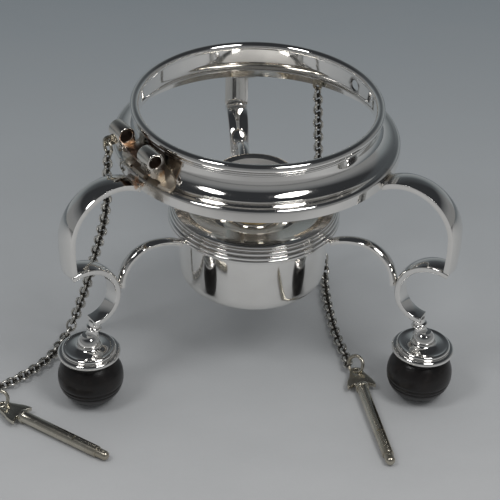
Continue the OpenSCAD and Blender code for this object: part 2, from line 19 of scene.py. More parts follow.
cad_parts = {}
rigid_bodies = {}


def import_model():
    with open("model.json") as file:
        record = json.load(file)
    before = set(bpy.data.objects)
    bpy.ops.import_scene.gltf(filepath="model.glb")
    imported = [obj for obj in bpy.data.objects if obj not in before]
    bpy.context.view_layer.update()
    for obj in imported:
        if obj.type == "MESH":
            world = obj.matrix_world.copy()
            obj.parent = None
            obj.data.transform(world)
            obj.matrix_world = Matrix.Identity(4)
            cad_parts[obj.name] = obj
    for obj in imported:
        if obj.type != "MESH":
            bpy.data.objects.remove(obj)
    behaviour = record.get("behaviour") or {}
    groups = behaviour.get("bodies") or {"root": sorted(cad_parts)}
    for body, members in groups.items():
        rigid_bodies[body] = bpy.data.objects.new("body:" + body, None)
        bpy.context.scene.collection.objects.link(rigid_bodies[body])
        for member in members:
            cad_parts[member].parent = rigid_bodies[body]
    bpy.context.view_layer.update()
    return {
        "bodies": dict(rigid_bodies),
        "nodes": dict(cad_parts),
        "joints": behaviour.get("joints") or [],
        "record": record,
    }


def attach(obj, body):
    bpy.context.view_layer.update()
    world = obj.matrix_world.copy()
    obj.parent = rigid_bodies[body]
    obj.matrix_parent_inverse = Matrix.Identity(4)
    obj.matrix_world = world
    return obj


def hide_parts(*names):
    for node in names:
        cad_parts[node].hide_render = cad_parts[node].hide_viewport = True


LOG = logging.getLogger("stand")

MM = 0.001
TABLE_H = 129.0
HINGE_AZ = 208.0
LOCK_AZ = 29.8
LOCK_HEIGHT = 126.6
LIP_R = 66.25
SWEEP_R = 8.4

Piece = bpy.types.Object
Material = bpy.types.Material
Socket = bpy.types.NodeSocket
Pair = tuple[float, float]
Triple = tuple[float, float, float]
Colour = tuple[float, float, float]
Stops = tuple[tuple[float, Colour], ...]

SWEEP_CENTRE: Pair = (63.8, 125.05)


class Leg(Enum):
    """The three legs, each with its direction in degrees."""

    BACK = 91.6
    LEFT = 210.0
    RIGHT = 330.0

    @property
    def tag(self) -> str:
        """The leg's name as the model's nodes spell it."""
        return self.name.lower()


class Body(Enum):
    """The bodies that pieces ride on."""

    STAND = "stand"
    BURNER = "burner"
    SNUFFER = "snuffer"


# ---------------------------------------------------------------- measuring


def spot(x: float, y: float, height: float) -> Vector:
    """A point in the model's frame, in metres, from millimetres and a height over the table."""
    return Vector((x * MM, y * MM, (height - TABLE_H) * MM))


def turned_by(azimuth: float, x: float, y: float) -> Pair:
    """A point of the plan, turned about the upright axis by an angle in degrees."""
    turn = math.radians(azimuth)
    return (x * math.cos(turn) - y * math.sin(turn), x * math.sin(turn) + y * math.cos(turn))


def polar(reach: float, azimuth: float, height: float) -> Vector:
    """A point in the model's frame at a reach and direction from the collar's axis."""
    return spot(*turned_by(azimuth, reach, 0.0), height)


def level(points: Sequence[Pair], height: float) -> list[Vector]:
    """Points of a flat outline at a height, all in millimetres, turned into metres."""
    return [Vector((x, y, height)) * MM for x, y in points]


def arc(
    cx: float, cz: float, radius: float, start: float, end: float, steps: int = 10,
) -> list[Pair]:
    """Points of an arc in a profile.

    Args:
        cx: distance of the arc's centre from the profile's axis.
        cz: height of the arc's centre.
        radius: the arc's radius.
        start: first angle in degrees, 0 pointing out and 90 up.
        end: last angle in degrees.
        steps: number of straight steps.

    Returns:
        The points, both ends included.
    """
    angles = [math.radians(start + (end - start) * i / steps) for i in range(steps + 1)]
    return [(cx + radius * math.cos(a), cz + radius * math.sin(a)) for a in angles]


def circle(cx: float, cz: float, radius: float, corners: int) -> list[Pair]:
    """Corners of a full circle in a profile."""
    return arc(cx, cz, radius, 0, 360 - 360 / corners, corners - 1)


# ---------------------------------------------------------------- the bench


class Bench:
    """The modelling steps that the pieces share, each made of Blender's own operators."""

    DOUBLES = 1e-7
    ON_AXIS = 1e-6

    @staticmethod
    def clear() -> None:
        """Leaves edit mode and deselects everything."""
        if bpy.context.object is not None and bpy.context.object.mode != "OBJECT":
            bpy.ops.object.mode_set(mode="OBJECT")
        bpy.ops.object.select_all(action="DESELECT")

    @classmethod
    def hold(cls, piece: Piece) -> None:
        """Makes one piece the only selected and active one."""
        cls.clear()
        piece.select_set(True)
        bpy.context.view_layer.objects.active = piece

    @classmethod
    def edit(cls, piece: Piece) -> None:
        """Enters edit mode with one whole piece selected."""
        cls.hold(piece)
        bpy.ops.object.mode_set(mode="EDIT")
        bpy.ops.mesh.select_all(action="SELECT")

    @classmethod
    def line(cls, name: str, points: Sequence[Vector], closed: bool = False) -> Piece:
        """Draws a wire by extruding one vertex from point to point, and stays in edit mode.

        Args:
            name: the new object's name.
            points: the wire's points in metres.
            closed: whether the last point is joined to the first.

        Returns:
            The object, in edit mode with its whole wire selected.
        """
        cls.clear()
        bpy.ops.mesh.primitive_plane_add(size=MM)
        piece = bpy.context.object
        piece.name = name
        bpy.ops.object.mode_set(mode="EDIT")
        bpy.ops.mesh.select_all(action="SELECT")
        bpy.ops.mesh.merge(type="CENTER")
        bpy.ops.transform.translate(value=points[0])
        path = list(points) + ([points[0]] if closed else [])
        for here, there in zip(path, path[1:]):
            bpy.ops.mesh.extrude_region_move(TRANSFORM_OT_translate={"value": tuple(there - here)})
        bpy.ops.mesh.select_all(action="SELECT")
        bpy.ops.mesh.remove_doubles(threshold=cls.DOUBLES)
        return piece

    @classmethod
    def finish_mesh(cls, piece: Piece) -> Piece:
        """Merges doubles, turns the faces outwards and leaves edit mode."""
        bpy.ops.mesh.select_all(action="SELECT")
        bpy.ops.mesh.remove_doubles(threshold=cls.DOUBLES)
        bpy.ops.mesh.normals_make_consistent(inside=False)
        bpy.ops.object.mode_set(mode="OBJECT")
        return piece

    @classmethod
    def turned(
        cls, name: str, outline: Sequence[Pair], steps: int = 192, base: float = -TABLE_H,
    ) -> Piece:
        """Spins an outline of radii and heights round the upright axis.

        Args:
            name: the new object's name.
            outline: (radius, height) pairs; an outline off the axis is closed.
            steps: facets round the axis.
            base: height that is added to each height of the outline.

        Returns:
            The turned piece.
        """
        points = [Vector((r * MM, 0.0, (h + base) * MM)) for r, h in outline]
        piece = cls.line(name, points, closed=outline[0][0] > cls.ON_AXIS)
        bpy.ops.mesh.spin(steps=steps, angle=2 * math.pi, center=(0, 0, 0), axis=(0, 0, 1))
        return cls.finish_mesh(piece)

    @classmethod
    def slab(cls, name: str, outline: Sequence[Vector], rise: Vector) -> Piece:
        """Fills an outline and extrudes it.

        Args:
            name: the new object's name.
            outline: points of the flat outline in metres.
            rise: the extrusion in metres.

        Returns:
            The slab.
        """
        piece = cls.line(name, outline, closed=True)
        bpy.ops.mesh.edge_face_add()
        bpy.ops.mesh.extrude_region_move(TRANSFORM_OT_translate={"value": tuple(rise)})
        return cls.finish_mesh(piece)

    @classmethod
    def peg(cls, name: str, radius: float, start: Vector, end: Vector, facets: int = 64) -> Piece:
        """A round peg between two points, radius in millimetres, used as a cutter or a blank."""
        cls.clear()
        along = end - start
        bpy.ops.mesh.primitive_cylinder_add(
            vertices=facets, radius=radius * MM, depth=along.length,
            location=(start + end) / 2, rotation=along.to_track_quat("Z", "Y").to_euler(),
        )
        piece = bpy.context.object
        piece.name = name
        bpy.ops.object.transform_apply(location=True, rotation=True, scale=True)
        return piece

    @classmethod
    def cut(cls, piece: Piece, tool: Piece) -> None:
        """Cuts a piece with a tool and throws the tool away."""
        cls.hold(piece)
        step = piece.modifiers.new("cut", "BOOLEAN")
        step.operation = "DIFFERENCE"
        step.solver = "EXACT"
        step.object = tool
        bpy.ops.object.modifier_apply(modifier=step.name)
        bpy.data.objects.remove(tool, do_unlink=True)

    @classmethod
    def soften(cls, piece: Piece, width: float, segments: int, angle: float) -> None:
        """Rounds the edges sharper than an angle with a bevel of a width in millimetres."""
        cls.hold(piece)
        step = piece.modifiers.new("edges", "BEVEL")
        step.width = width * MM
        step.segments = segments
        step.limit_method = "ANGLE"
        step.angle_limit = math.radians(angle)
        step.use_clamp_overlap = True
        step.miter_outer = "MITER_ARC"
        bpy.ops.object.modifier_apply(modifier=step.name)

    @classmethod
    def shade(cls, piece: Piece, angle: float) -> None:
        """Shades a piece smooth, with edges over an angle left crisp."""
        cls.hold(piece)
        bpy.ops.object.shade_smooth_by_angle(angle=math.radians(angle))

    @classmethod
    def place(cls, piece: Piece, matrix: Matrix) -> None:
        """Moves a piece by a matrix and writes its place into its mesh."""
        cls.hold(piece)
        piece.matrix_world = matrix
        bpy.ops.object.transform_apply(location=True, rotation=True, scale=True)

    @classmethod
    def copy(cls, piece: Piece, name: str) -> Piece:
        """A copy of a piece with a mesh of its own."""
        cls.hold(piece)
        bpy.ops.object.duplicate(linked=False)
        twin = bpy.context.object
        twin.name = name
        return twin

    @classmethod
    def join(cls, pieces: Sequence[Piece], name: str) -> Piece:
        """Joins several pieces into the first one."""
        cls.clear()
        for piece in pieces:
            piece.select_set(True)
        bpy.context.view_layer.objects.active = pieces[0]
        bpy.ops.object.join()
        pieces[0].name = name
        return pieces[0]


def about_axis(azimuth: float) -> Matrix:
    """A turn about the upright axis, in degrees."""
    return Matrix.Rotation(math.radians(azimuth), 4, "Z")


# ---------------------------------------------------------------- shader maths


class Value:
    """A number that varies over a surface: one node socket with Python's operators."""

    def __init__(self, shop: "Nodes", socket: Socket) -> None:
        """Keeps the node tree that the socket belongs to, and the socket."""
        self.shop = shop
        self.socket = socket

    def _math(self, operation: str, first: "Value | float", second: "Value | float") -> "Value":
        """Adds one Math node for two terms."""
        node = self.shop.add("ShaderNodeMath", {"operation": operation}, {0: first, 1: second})
        return Value(self.shop, node.outputs[0])

    def __add__(self, other: "Value | float") -> "Value":
        """Sum."""
        return self._math("ADD", self, other)

    def __sub__(self, other: "Value | float") -> "Value":
        """Difference."""
        return self._math("SUBTRACT", self, other)

    def __rsub__(self, other: float) -> "Value":
        """Difference with the number first."""
        return self._math("SUBTRACT", other, self)

    def __mul__(self, other: "Value | float") -> "Value":
        """Product."""
        return self._math("MULTIPLY", self, other)

    def __pow__(self, other: float) -> "Value":
        """Power."""
        return self._math("POWER", self, other)

    def least(self, other: "Value | float") -> "Value":
        """The smaller of two."""
        return self._math("MINIMUM", self, other)

    def most(self, other: "Value | float") -> "Value":
        """The larger of two."""
        return self._math("MAXIMUM", self, other)

    def clamp(self) -> "Value":
        """Kept from 0 to 1."""
        return self.least(1.0).most(0.0)

    def between(self, low: float, high: float) -> "Value":
        """0 below low, 1 above high and a straight rise in between."""
        return ((self - low) * (1.0 / (high - low))).clamp()


class Nodes:
    """A node tree under construction."""

    def __init__(self, tree: bpy.types.NodeTree) -> None:
        """Keeps the tree that the nodes are added to."""
        self.tree = tree

    def add(
        self, kind: str, settings: dict[str, object] | None = None,
        values: dict[str | int, object] | None = None,
    ) -> bpy.types.Node:
        """Adds a node.

        Args:
            kind: the node's type.
            settings: properties that are set before its sockets are used; stops fill a ramp.
            values: its sockets by name or place, each with a number, tuple, Value or socket.

        Returns:
            The node.
        """
        node = self.tree.nodes.new(kind)
        for key, value in (settings or {}).items():
            if key == "stops":
                self._set_ramp(node, value)
            else:
                setattr(node, key, value)
        for key, value in (values or {}).items():
            self.plug(node.inputs[key], value)
        return node

    def plug(self, socket: Socket, value: object) -> None:
        """Gives a socket a link or a plain value."""
        if isinstance(value, Value):
            value = value.socket
        if isinstance(value, Socket):
            self.tree.links.new(value, socket)
        elif isinstance(value, tuple) and len(value) == 3 and socket.type == "RGBA":
            socket.default_value = (*value, 1.0)
        else:
            socket.default_value = value

    @staticmethod
    def _set_ramp(node: bpy.types.Node, stops: Stops) -> None:
        """Writes the stops of a colour ramp."""
        ramp = node.color_ramp
        while len(ramp.elements) < len(stops):
            ramp.elements.new(0.5)
        for element, (place, colour) in zip(ramp.elements, stops):
            element.position = place
            element.color = (*colour, 1.0)

    def blend(self, amount: Value | float, first: object, second: object) -> Socket:
        """Mixes two colours."""
        node = self.add("ShaderNodeMix", {"data_type": "RGBA"}, {0: amount, 6: first, 7: second})
        return node.outputs[2]


class Shader(Nodes):
    """One material under construction."""

    def __init__(self, name: str) -> None:
        """Starts a material with a principled shader wired to its output."""
        self.material = bpy.data.materials.new(name)
        self.material.use_nodes = True
        super().__init__(self.material.node_tree)
        self.tree.nodes.clear()
        output = self.add("ShaderNodeOutputMaterial")
        self.surface = self.add("ShaderNodeBsdfPrincipled")
        self.plug(output.inputs[0], self.surface.outputs[0])
        self.objects = self.add("ShaderNodeTexCoord").outputs["Object"]

    def noise(
        self, scale: float, detail: float = 3.0, stretch: Triple = (1, 1, 1), rough: float = 0.5,
    ) -> Value:
        """Smooth noise, from 0 to 1, on the piece's own coordinates.

        Args:
            scale: bumps per metre.
            detail: how many finer layers are added.
            stretch: scale factors along the three axes.
            rough: strength of the finer layers.

        Returns:
            The noise.
        """
        where = self.add("ShaderNodeMapping", {}, {0: self.objects, 3: stretch}).outputs[0]
        values = {"Vector": where, "Scale": scale, "Detail": detail, "Roughness": rough}
        return Value(self, self.add("ShaderNodeTexNoise", {}, values).outputs[0])

    def near(self, centre: Vector, radius: float) -> Value:
        """1 at a point and 0 beyond a radius, both in metres."""
        ends = {0: self.objects, 1: tuple(centre)}
        away = self.add("ShaderNodeVectorMath", {"operation": "DISTANCE"}, ends).outputs[1]
        return (1.0 - Value(self, away) * (1.0 / radius)).clamp()

    def part(self, axis: int) -> Value:
        """One coordinate of the surface point, in metres."""
        return Value(self, self.add("ShaderNodeSeparateXYZ", {}, {0: self.objects}).outputs[axis])

    def attribute(self, name: str) -> Value:
        """A number stored on the mesh's points."""
        return Value(self, self.add("ShaderNodeAttribute", {"attribute_name": name}).outputs["Fac"])

    def bump(self, height: Value, depth: float) -> None:
        """Feeds the surface's normal from a height field of a depth in metres."""
        values = {"Strength": 1.0, "Distance": depth, "Height": height}
        node = self.add("ShaderNodeBump", {}, values)
        self.plug(self.surface.inputs["Normal"], node.outputs[0])

    def set(self, **values: object) -> None:
        """Sets sockets of the principled shader, with _ for a space."""
        for key, value in values.items():
            self.plug(self.surface.inputs[key.replace("_", " ")], value)


# ---------------------------------------------------------------- finishes


@dataclass(frozen=True)
class ColourPatch:
    """A patch of colour round a point, for tarnish and for painted shade in corners and holes."""

    centre: Triple
    radius: float
    colour: Colour
    strength: float


@dataclass(frozen=True)
class Silver:
    """Silver plate: how bright, how worn, where it has tarnished and where shade is painted on it.

    The capital values bound the film under the collar's sweep, in metres.
    """

    FILM_FROM_RIM = (0.0, 0.004)
    FILM_DOWN = (0.0015, 0.0045)
    BROWN_DOWN = (0.006, 0.0085)
    FILM_EDGE = 0.0002

    name: str
    colour: Colour = (0.90, 0.885, 0.86)
    dull: Colour = (0.74, 0.715, 0.67)
    roughness: float = 0.055
    wear: float = 0.06
    ripple: float = 0.00001
    spots: float = 0.15
    smears: float = 0.35
    under_sweep: float = 0.0
    stains: tuple[ColourPatch, ...] = ()

    def make(self) -> Material:
        """Builds the material.

        Returns:
            A polished metal with smears, hairlines and soft ripples.
        """
        shop = Shader(self.name)
        smear = shop.noise(38.0, 4.0, rough=0.6).between(0.42, 0.72)
        hairs = shop.noise(700.0, 2.0, (1.0, 0.08, 0.5)).between(0.62, 0.76)
        hairs = hairs.most(shop.noise(800.0, 2.0, (0.07, 1.0, 0.4)).between(0.64, 0.78))
        specks = shop.noise(1300.0, 1.0).between(0.74, 0.80)
        dulled = (smear * self.smears + specks * self.spots).clamp()
        colour = shop.blend(dulled, self.colour, self.dull)
        rough = smear * self.wear + hairs * (self.wear * 0.6) + self.roughness
        ragged = (shop.noise(330.0, 4.0, rough=0.65) - 0.5) * 0.9
        if self.under_sweep > 0:
            film, brown = self._sweep_film(shop)
            colour = shop.blend(brown, shop.blend(film, colour, FILM), BROWN)
            rough = rough + film * 0.15
        # Tarnish patches, and near-black patches of painted shade by the hinge and in the lock
        # hole.
        for colour_patch in self.stains:
            close = shop.near(Vector(colour_patch.centre), colour_patch.radius)
            patch = (close + ragged * close.between(0.0, 0.25)).between(0.12, 0.55) * colour_patch.strength
            colour = shop.blend(patch, colour, colour_patch.colour)
            rough = rough + patch * 0.22
        shop.set(Base_Color=colour, Metallic=1.0, Roughness=rough)
        shop.bump(shop.noise(55.0, 1.0) + hairs * 0.04 + specks * 0.05, self.ripple)
        return shop.material

    def _sweep_film(self, shop: Shader) -> tuple[Value, Value]:
        """Tarnish on the hollow side of the collar's sweep: a thin film, and brown at its foot."""
        out = (shop.part(0) ** 2 + shop.part(1) ** 2) ** 0.5 - SWEEP_CENTRE[0] * MM
        up = shop.part(2) - (SWEEP_CENTRE[1] - TABLE_H) * MM
        down, inwards = up * -1.0, out * -1.0
        mid_sheet = (SWEEP_R + 0.5) * MM
        edges = (mid_sheet - self.FILM_EDGE, mid_sheet + self.FILM_EDGE)
        hollow = ((out ** 2 + up ** 2) ** 0.5).between(*edges)
        hollow = hollow * inwards.between(*self.FILM_FROM_RIM)
        low = down.between(*self.FILM_DOWN) * (shop.noise(60.0, 3.0) + 0.2).clamp()
        film = hollow * low * self.under_sweep
        return film, film * down.between(*self.BROWN_DOWN) * 0.8


@dataclass(frozen=True)
class ChainSilver:
    """Worn silver wire, darker towards the middle line: grime and painted shade where links
    overlap.
    """

    name: str
    colour: Colour = (0.72, 0.70, 0.65)
    dirt: Colour = (0.09, 0.082, 0.07)
    roughness: float = 0.2

    def make(self) -> Material:
        """Builds the material, which reads how far out on the chain each point lies."""
        shop = Shader(self.name)
        out = shop.attribute("outward")
        grime = shop.noise(700.0, 3.0)
        # Grime and painted shade: the colour darkens towards the chain's middle line, where the
        # links overlap.
        bright = (out + (grime - 0.5) * 0.35).between(0.38, 0.72)
        shop.set(Base_Color=shop.blend(bright, self.dirt, self.colour), Metallic=1.0)
        shop.set(Roughness=(1.0 - bright) * 0.35 + grime * 0.1 + self.roughness)
        shop.bump(grime, 0.00004)
        return shop.material


@dataclass(frozen=True)
class Wood:
    """Dark turned wood with a worn satin polish."""

    name: str
    dark: Colour = (0.003, 0.0025, 0.0025)
    warm: Colour = (0.009, 0.006, 0.005)

    def make(self) -> Material:
        """Builds the material with rings left by the lathe and a faint grain."""
        shop = Shader(self.name)
        grain = shop.noise(260.0, 5.0, (1.0, 1.0, 0.18), 0.65)
        rings = shop.noise(1500.0, 2.0, (0.04, 0.04, 1.0))
        scuffs = shop.noise(420.0, 3.0).between(0.58, 0.74)
        colour = shop.blend(grain.between(0.35, 0.75), self.dark, self.warm)
        colour = shop.blend(scuffs * 0.15, colour, (0.035, 0.030, 0.026))
        shop.set(Base_Color=colour, Roughness=grain * 0.12 + scuffs * 0.15 + 0.24)
        shop.surface.inputs["Specular IOR Level"].default_value = 0.45
        shop.bump(rings * 0.8 + grain * 0.2, 0.00010)
        return shop.material


@dataclass(frozen=True)
class Brass:
    """Satin brass with darker spots."""

    name: str
    colour: Colour = (0.74, 0.57, 0.30)
    roughness: float = 0.28

    def make(self) -> Material:
        """Builds the material."""
        shop = Shader(self.name)
        spots = shop.noise(320.0, 4.0).between(0.45, 0.75)
        turned = shop.noise(2200.0, 1.0, (0.05, 0.05, 1.0))
        shop.set(Base_Color=shop.blend(spots * 0.6, self.colour, (0.35, 0.22, 0.10)), Metallic=1.0)
        shop.set(Roughness=spots * 0.25 + self.roughness)
        shop.bump(turned, 0.00003)
        return shop.material


@dataclass(frozen=True)
class Cotton:
    """Plaited cotton wick, charred at its top."""

    name: str

    def make(self) -> Material:
        """Builds the material."""
        shop = Shader(self.name)
        plait = shop.noise(1400.0, 2.0, (1.0, 1.0, 0.45))
        char = shop.part(2).between(-0.0435, -0.0405)
        colour = shop.blend(plait.between(0.3, 0.7), (0.42, 0.38, 0.30), (0.74, 0.70, 0.60))
        shop.set(Base_Color=shop.blend(char, colour, (0.03, 0.027, 0.025)), Roughness=0.9)
        shop.bump(plait, 0.0003)
        return shop.material


@dataclass(frozen=True)
class TableTop:
    """Grey studio paper with painted light: darker, bluer towards the back; painted shade at its
    front edge.
    """

    name: str
    near: Colour = (0.455, 0.455, 0.455)
    # Painted light falloff: darker and bluer towards the back.
    far: Colour = (0.19, 0.22, 0.24)
    # Painted shade along the front edge.
    edge: Colour = (0.24, 0.24, 0.24)

    def make(self) -> Material:
        """Builds the material."""
        shop = Shader(self.name)
        painted_falloff = shop.part(1).between(-0.16, 0.40)
        fibre = shop.noise(900.0, 3.0)
        cloud = shop.noise(16.0, 4.0, (1.0, 1.6, 1.0), 0.6).between(0.35, 0.65)
        colour = shop.blend(painted_falloff, self.near, self.far)
        # Painted shade along the front edge, which the collar's wall and the pot reflect.
        colour = shop.blend((shop.part(1) * -1.0).between(0.18, 0.30), colour, self.edge)
        colour = shop.blend(cloud * 0.12, colour, (0.27, 0.275, 0.28))
        colour = shop.blend(fibre * 0.10, colour, (0.30, 0.30, 0.30))
        shop.set(Base_Color=colour, Roughness=fibre * 0.1 + 0.75)
        shop.bump(fibre, 0.00005)
        return shop.material


SOLDER = (0.50, 0.30, 0.15)
COPPER = (0.72, 0.46, 0.30)
BROWN = (0.19, 0.115, 0.08)
# Near-black painted shade for the corners by the hinge's knuckles and for the lock hole.
CREVICE_SHADE = (0.035, 0.022, 0.016)
FILM = (0.50, 0.44, 0.36)


def seam_stains_and_shade() -> tuple[ColourPatch, ...]:
    """Tarnish round the hinge and the legs' joints; painted shade by the knuckles and in the lock
    hole.

    Each row holds a place, a radius, a colour and a strength. The first table's places are
    out from the axis, along the hinge and up; the second's are reach, direction and height.
    """
    hinge_stains_and_shade = (
        (61.0, 17.5, 118.6, 12.0, FILM, 0.75),
        (60.0, 12.0, 120.0, 6.5, BROWN, 0.60),
        (61.0, 8.0, 118.6, 12.0, FILM, 0.55),
        (61.5, 0.0, 125.0, 11.0, BROWN, 0.95),
        (61.5, -8.4, 124.6, 4.2, SOLDER, 0.60),
        # Painted shade: near-black patches in the corner between the wall, the shelf and the
        # knuckles.
        (58.4, -2.0, 126.0, 6.0, CREVICE_SHADE, 0.90),
        (58.4, 6.0, 126.0, 5.0, CREVICE_SHADE, 0.80),
        (58.2, 12.0, 126.0, 5.5, CREVICE_SHADE, 0.90),
        (58.2, 19.0, 125.0, 5.5, CREVICE_SHADE, 0.95),
        (58.2, -13.0, 126.0, 6.0, CREVICE_SHADE, 0.80),
        (60.6, 19.0, 122.5, 2.8, SOLDER, 0.80),
    )
    leg_stains_and_lock_shade = (
        (66.4, 212.6, 114.4, 2.6, COPPER, 0.75),
        (68.2, 214.5, 112.8, 2.0, COPPER, 0.75),
        (66.4, 207.6, 114.0, 4.0, BROWN, 0.50),
        (66.4, 92.0, 113.5, 7.0, FILM, 0.60),
        (66.4, 330.0, 113.5, 5.0, FILM, 0.60),
        # Painted shade inside the lock hole.
        (55.0, LOCK_AZ, LOCK_HEIGHT, 5.4, CREVICE_SHADE, 1.0),
    )
    turn = about_axis(HINGE_AZ)
    return tuple(
        [ColourPatch(tuple(turn @ spot(*row[:3])), row[3] * MM, *row[4:]) for row in hinge_stains_and_shade]
        + [ColourPatch(tuple(polar(*row[:3])), row[3] * MM, *row[4:]) for row in leg_stains_and_lock_shade]
    )


class Finishes:
    """Every finish of the stand, built once and found by its name."""

    def __init__(self) -> None:
        """Builds the materials."""
        stains = seam_stains_and_shade()
        self.polished = Silver("polished_silver_plate", stains=stains).make()
        self.collar = Silver("polished_collar_plate", stains=stains, under_sweep=0.9).make()
        self.satin = Silver("satin_snuffer_plate", roughness=0.42, wear=0.12, spots=0.3).make()
        self.hinge = Silver(
            "solder_tarnished_plate", colour=(0.84, 0.80, 0.74), dull=(0.60, 0.53, 0.44),
            roughness=0.09, wear=0.10, stains=stains,
        ).make()
        self.leaf = Silver(
            "solder_browned_leaf", colour=(0.60, 0.56, 0.50), dull=(0.42, 0.36, 0.29),
            roughness=0.30, wear=0.12, spots=0.3, smears=0.6, stains=stains,
        ).make()
        self.worn = Silver(
            "worn_yellowish_plate", colour=(0.62, 0.59, 0.51), dull=(0.30, 0.25, 0.18),
            roughness=0.20, wear=0.16, ripple=0.00004, spots=0.5, smears=0.75,
        ).make()
        self.burner = Silver(
            "warm_burner_plate", colour=(0.86, 0.83, 0.77), dull=(0.62, 0.55, 0.44),
            roughness=0.075, wear=0.10,
        ).make()
        # Painted shade: a dark brown finish for the insides of the hinge's bores.
        self.bore = Silver(
            "dark_bore", colour=(0.13, 0.085, 0.06), dull=(0.04, 0.03, 0.025),
            roughness=0.45, wear=0.2,
        ).make()
        self.chain = ChainSilver("worn_chain").make()
        self.wood = Wood("turned_dark_wood").make()
        self.brass = Brass("satin_brass").make()
        self.cotton = Cotton("charred_cotton").make()
        self.table = TableTop("studio_paper").make()


def dress(piece: Piece, material: Material, body: Body, node: str) -> Piece:
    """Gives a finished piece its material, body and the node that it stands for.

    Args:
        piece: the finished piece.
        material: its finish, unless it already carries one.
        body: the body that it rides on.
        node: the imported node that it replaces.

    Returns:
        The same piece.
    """
    if not piece.data.materials:
        piece.data.materials.append(material)
    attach(piece, body.value)
    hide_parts(node)
    LOG.info("%s: %d faces", piece.name, len(piece.data.polygons))
    return piece


def stand_on_legs(pattern: Piece, material: Material, stem: str, node: str) -> None:
    """Copies a pattern to the three legs, dresses each copy and throws the pattern away.

    Args:
        pattern: the piece in the plane of a leg that points along +X.
        material: its finish.
        stem: start of the copies' names.
        node: start of the names of the nodes that they replace.
    """
    for leg in Leg:
        piece = Bench.copy(pattern, stem + leg.tag)
        Bench.place(piece, about_axis(leg.value))
        dress(piece, material, Body.STAND, node + leg.tag)
    bpy.data.objects.remove(pattern, do_unlink=True)


def repaint(node: Piece, material: Material) -> None:
    """Gives a kept node a better material."""
    node.data.materials.clear()
    node.data.materials.append(material)


# ---------------------------------------------------------------- studio


@dataclass(frozen=True)
class Lamp:
    """One soft box."""

    name: str
    place: Triple
    size: Pair
    power: float
    aim: Triple = (0.0, 0.0, -0.06)

    def make(self) -> None:
        """Hangs the lamp and turns it to its aim."""
        data = bpy.data.lights.new(self.name, "AREA")
        data.shape = "ELLIPSE"
        data.size, data.size_y = self.size
        data.energy = self.power
        lamp = bpy.data.objects.new(self.name, data)
        bpy.context.scene.collection.objects.link(lamp)
        lamp.location = self.place
        sight = Vector(self.aim) - Vector(self.place)
        lamp.rotation_euler = sight.to_track_quat("-Z", "Y").to_euler()


@dataclass
class Studio:
    """Camera, table top, soft boxes and the room's dim walls."""

    azimuth: float = -4.61
    elevation: float = 33.27
    distance: float = 1.13681
    target: Triple = (-1.18 * MM, 0.0, (52.82 - TABLE_H) * MM)
    roll: float = 2.07
    lens: float = 172.8
    table_side: float = 12.0
    front_walls: Stops = (
        (0.0, (0.21, 0.215, 0.215)), (0.30, (0.19, 0.195, 0.20)), (0.50, (0.11, 0.115, 0.12)),
        (0.64, (0.028, 0.03, 0.033)),
    )
    back_walls: Stops = (
        (0.0, (0.28, 0.30, 0.31)), (0.34, (0.17, 0.19, 0.20)), (0.52, (0.07, 0.078, 0.085)),
        (0.84, (0.030, 0.032, 0.035)),
    )
    backdrop_from: Pair = (0.50, 0.62)
    fill: Colour = (0.50, 0.51, 0.52)
    lamps: tuple[Lamp, ...] = (
        Lamp("key_box", (0.46, -0.60, 1.02), (0.46, 0.60), 5.6),
        Lamp("fill_box", (-0.61, -0.46, 1.00), (0.32, 0.46), 3.4),
    )

    def make_camera(self) -> None:
        """Sets up the camera at the photograph's viewpoint."""
        turn, tilt, roll = (math.radians(v) for v in (self.azimuth, self.elevation, self.roll))
        flat = math.cos(tilt)
        back = Vector((math.sin(turn) * flat, -math.cos(turn) * flat, math.sin(tilt)))
        sideways = (-back).cross(Vector((0, 0, 1))).normalized()
        upright = sideways.cross(-back)
        right = sideways * math.cos(roll) + upright * math.sin(roll)
        up = upright * math.cos(roll) - sideways * math.sin(roll)
        data = bpy.data.cameras.new("viewpoint")
        data.sensor_width = 36.0
        data.lens = self.lens
        data.clip_start, data.clip_end = 0.01, 20.0
        camera = bpy.data.objects.new("viewpoint", data)
        bpy.context.scene.collection.objects.link(camera)
        axes = Matrix((right, up, back)).transposed().to_4x4()
        camera.matrix_world = Matrix.Translation(Vector(self.target) + back * self.distance) @ axes
        bpy.context.scene.camera = camera

    def make_table(self, material: Material) -> None:
        """Lays the table top in its finish."""
        Bench.clear()
        bpy.ops.mesh.primitive_plane_add(size=self.table_side, location=(0, 0, -TABLE_H * MM))
        table = bpy.context.object
        table.name = "table_top"
        Bench.edit(table)
        bpy.ops.mesh.subdivide(number_cuts=3)
        bpy.ops.object.mode_set(mode="OBJECT")
        bpy.ops.object.transform_apply(location=True, rotation=True, scale=True)
        table.data.materials.append(material)

    def make_room(self) -> None:
        """Paints the room: grey walls, a dark ceiling and an even soft fill on dull surfaces."""
        world = bpy.data.worlds.new("room")
        world.use_nodes = True
        shop = Nodes(world.node_tree)
        towards = shop.add("ShaderNodeTexCoord").outputs["Generated"]
        parts = shop.add("ShaderNodeSeparateXYZ", {}, {0: towards}).outputs
        front, back = (
            shop.add("ShaderNodeValToRGB", {"stops": stops}, {0: parts[2]}).outputs[0]
            for stops in (self.front_walls, self.back_walls)
        )
        low, high = self.backdrop_from
        values = {"Value": parts[1], "From Min": low, "From Max": high}
        turn = shop.add("ShaderNodeMapRange", {}, values)
        walls = shop.blend(turn.outputs[0], front, back)
        path = shop.add("ShaderNodeLightPath").outputs
        seen = Value(shop, path["Is Camera Ray"]).most(Value(shop, path["Is Glossy Ray"]))
        background = world.node_tree.nodes["Background"]
        shop.plug(background.inputs["Color"], shop.blend(seen, self.fill, walls))
        shop.plug(background.inputs["Strength"], 1.0)
        bpy.context.scene.world = world

    def make_light(self) -> None:
        """Hangs the lamps, paints the room and sets the plain view."""
        for lamp in self.lamps:
            lamp.make()
        self.make_room()
        bpy.context.scene.view_settings.view_transform = "Standard"


# ---------------------------------------------------------------- chains


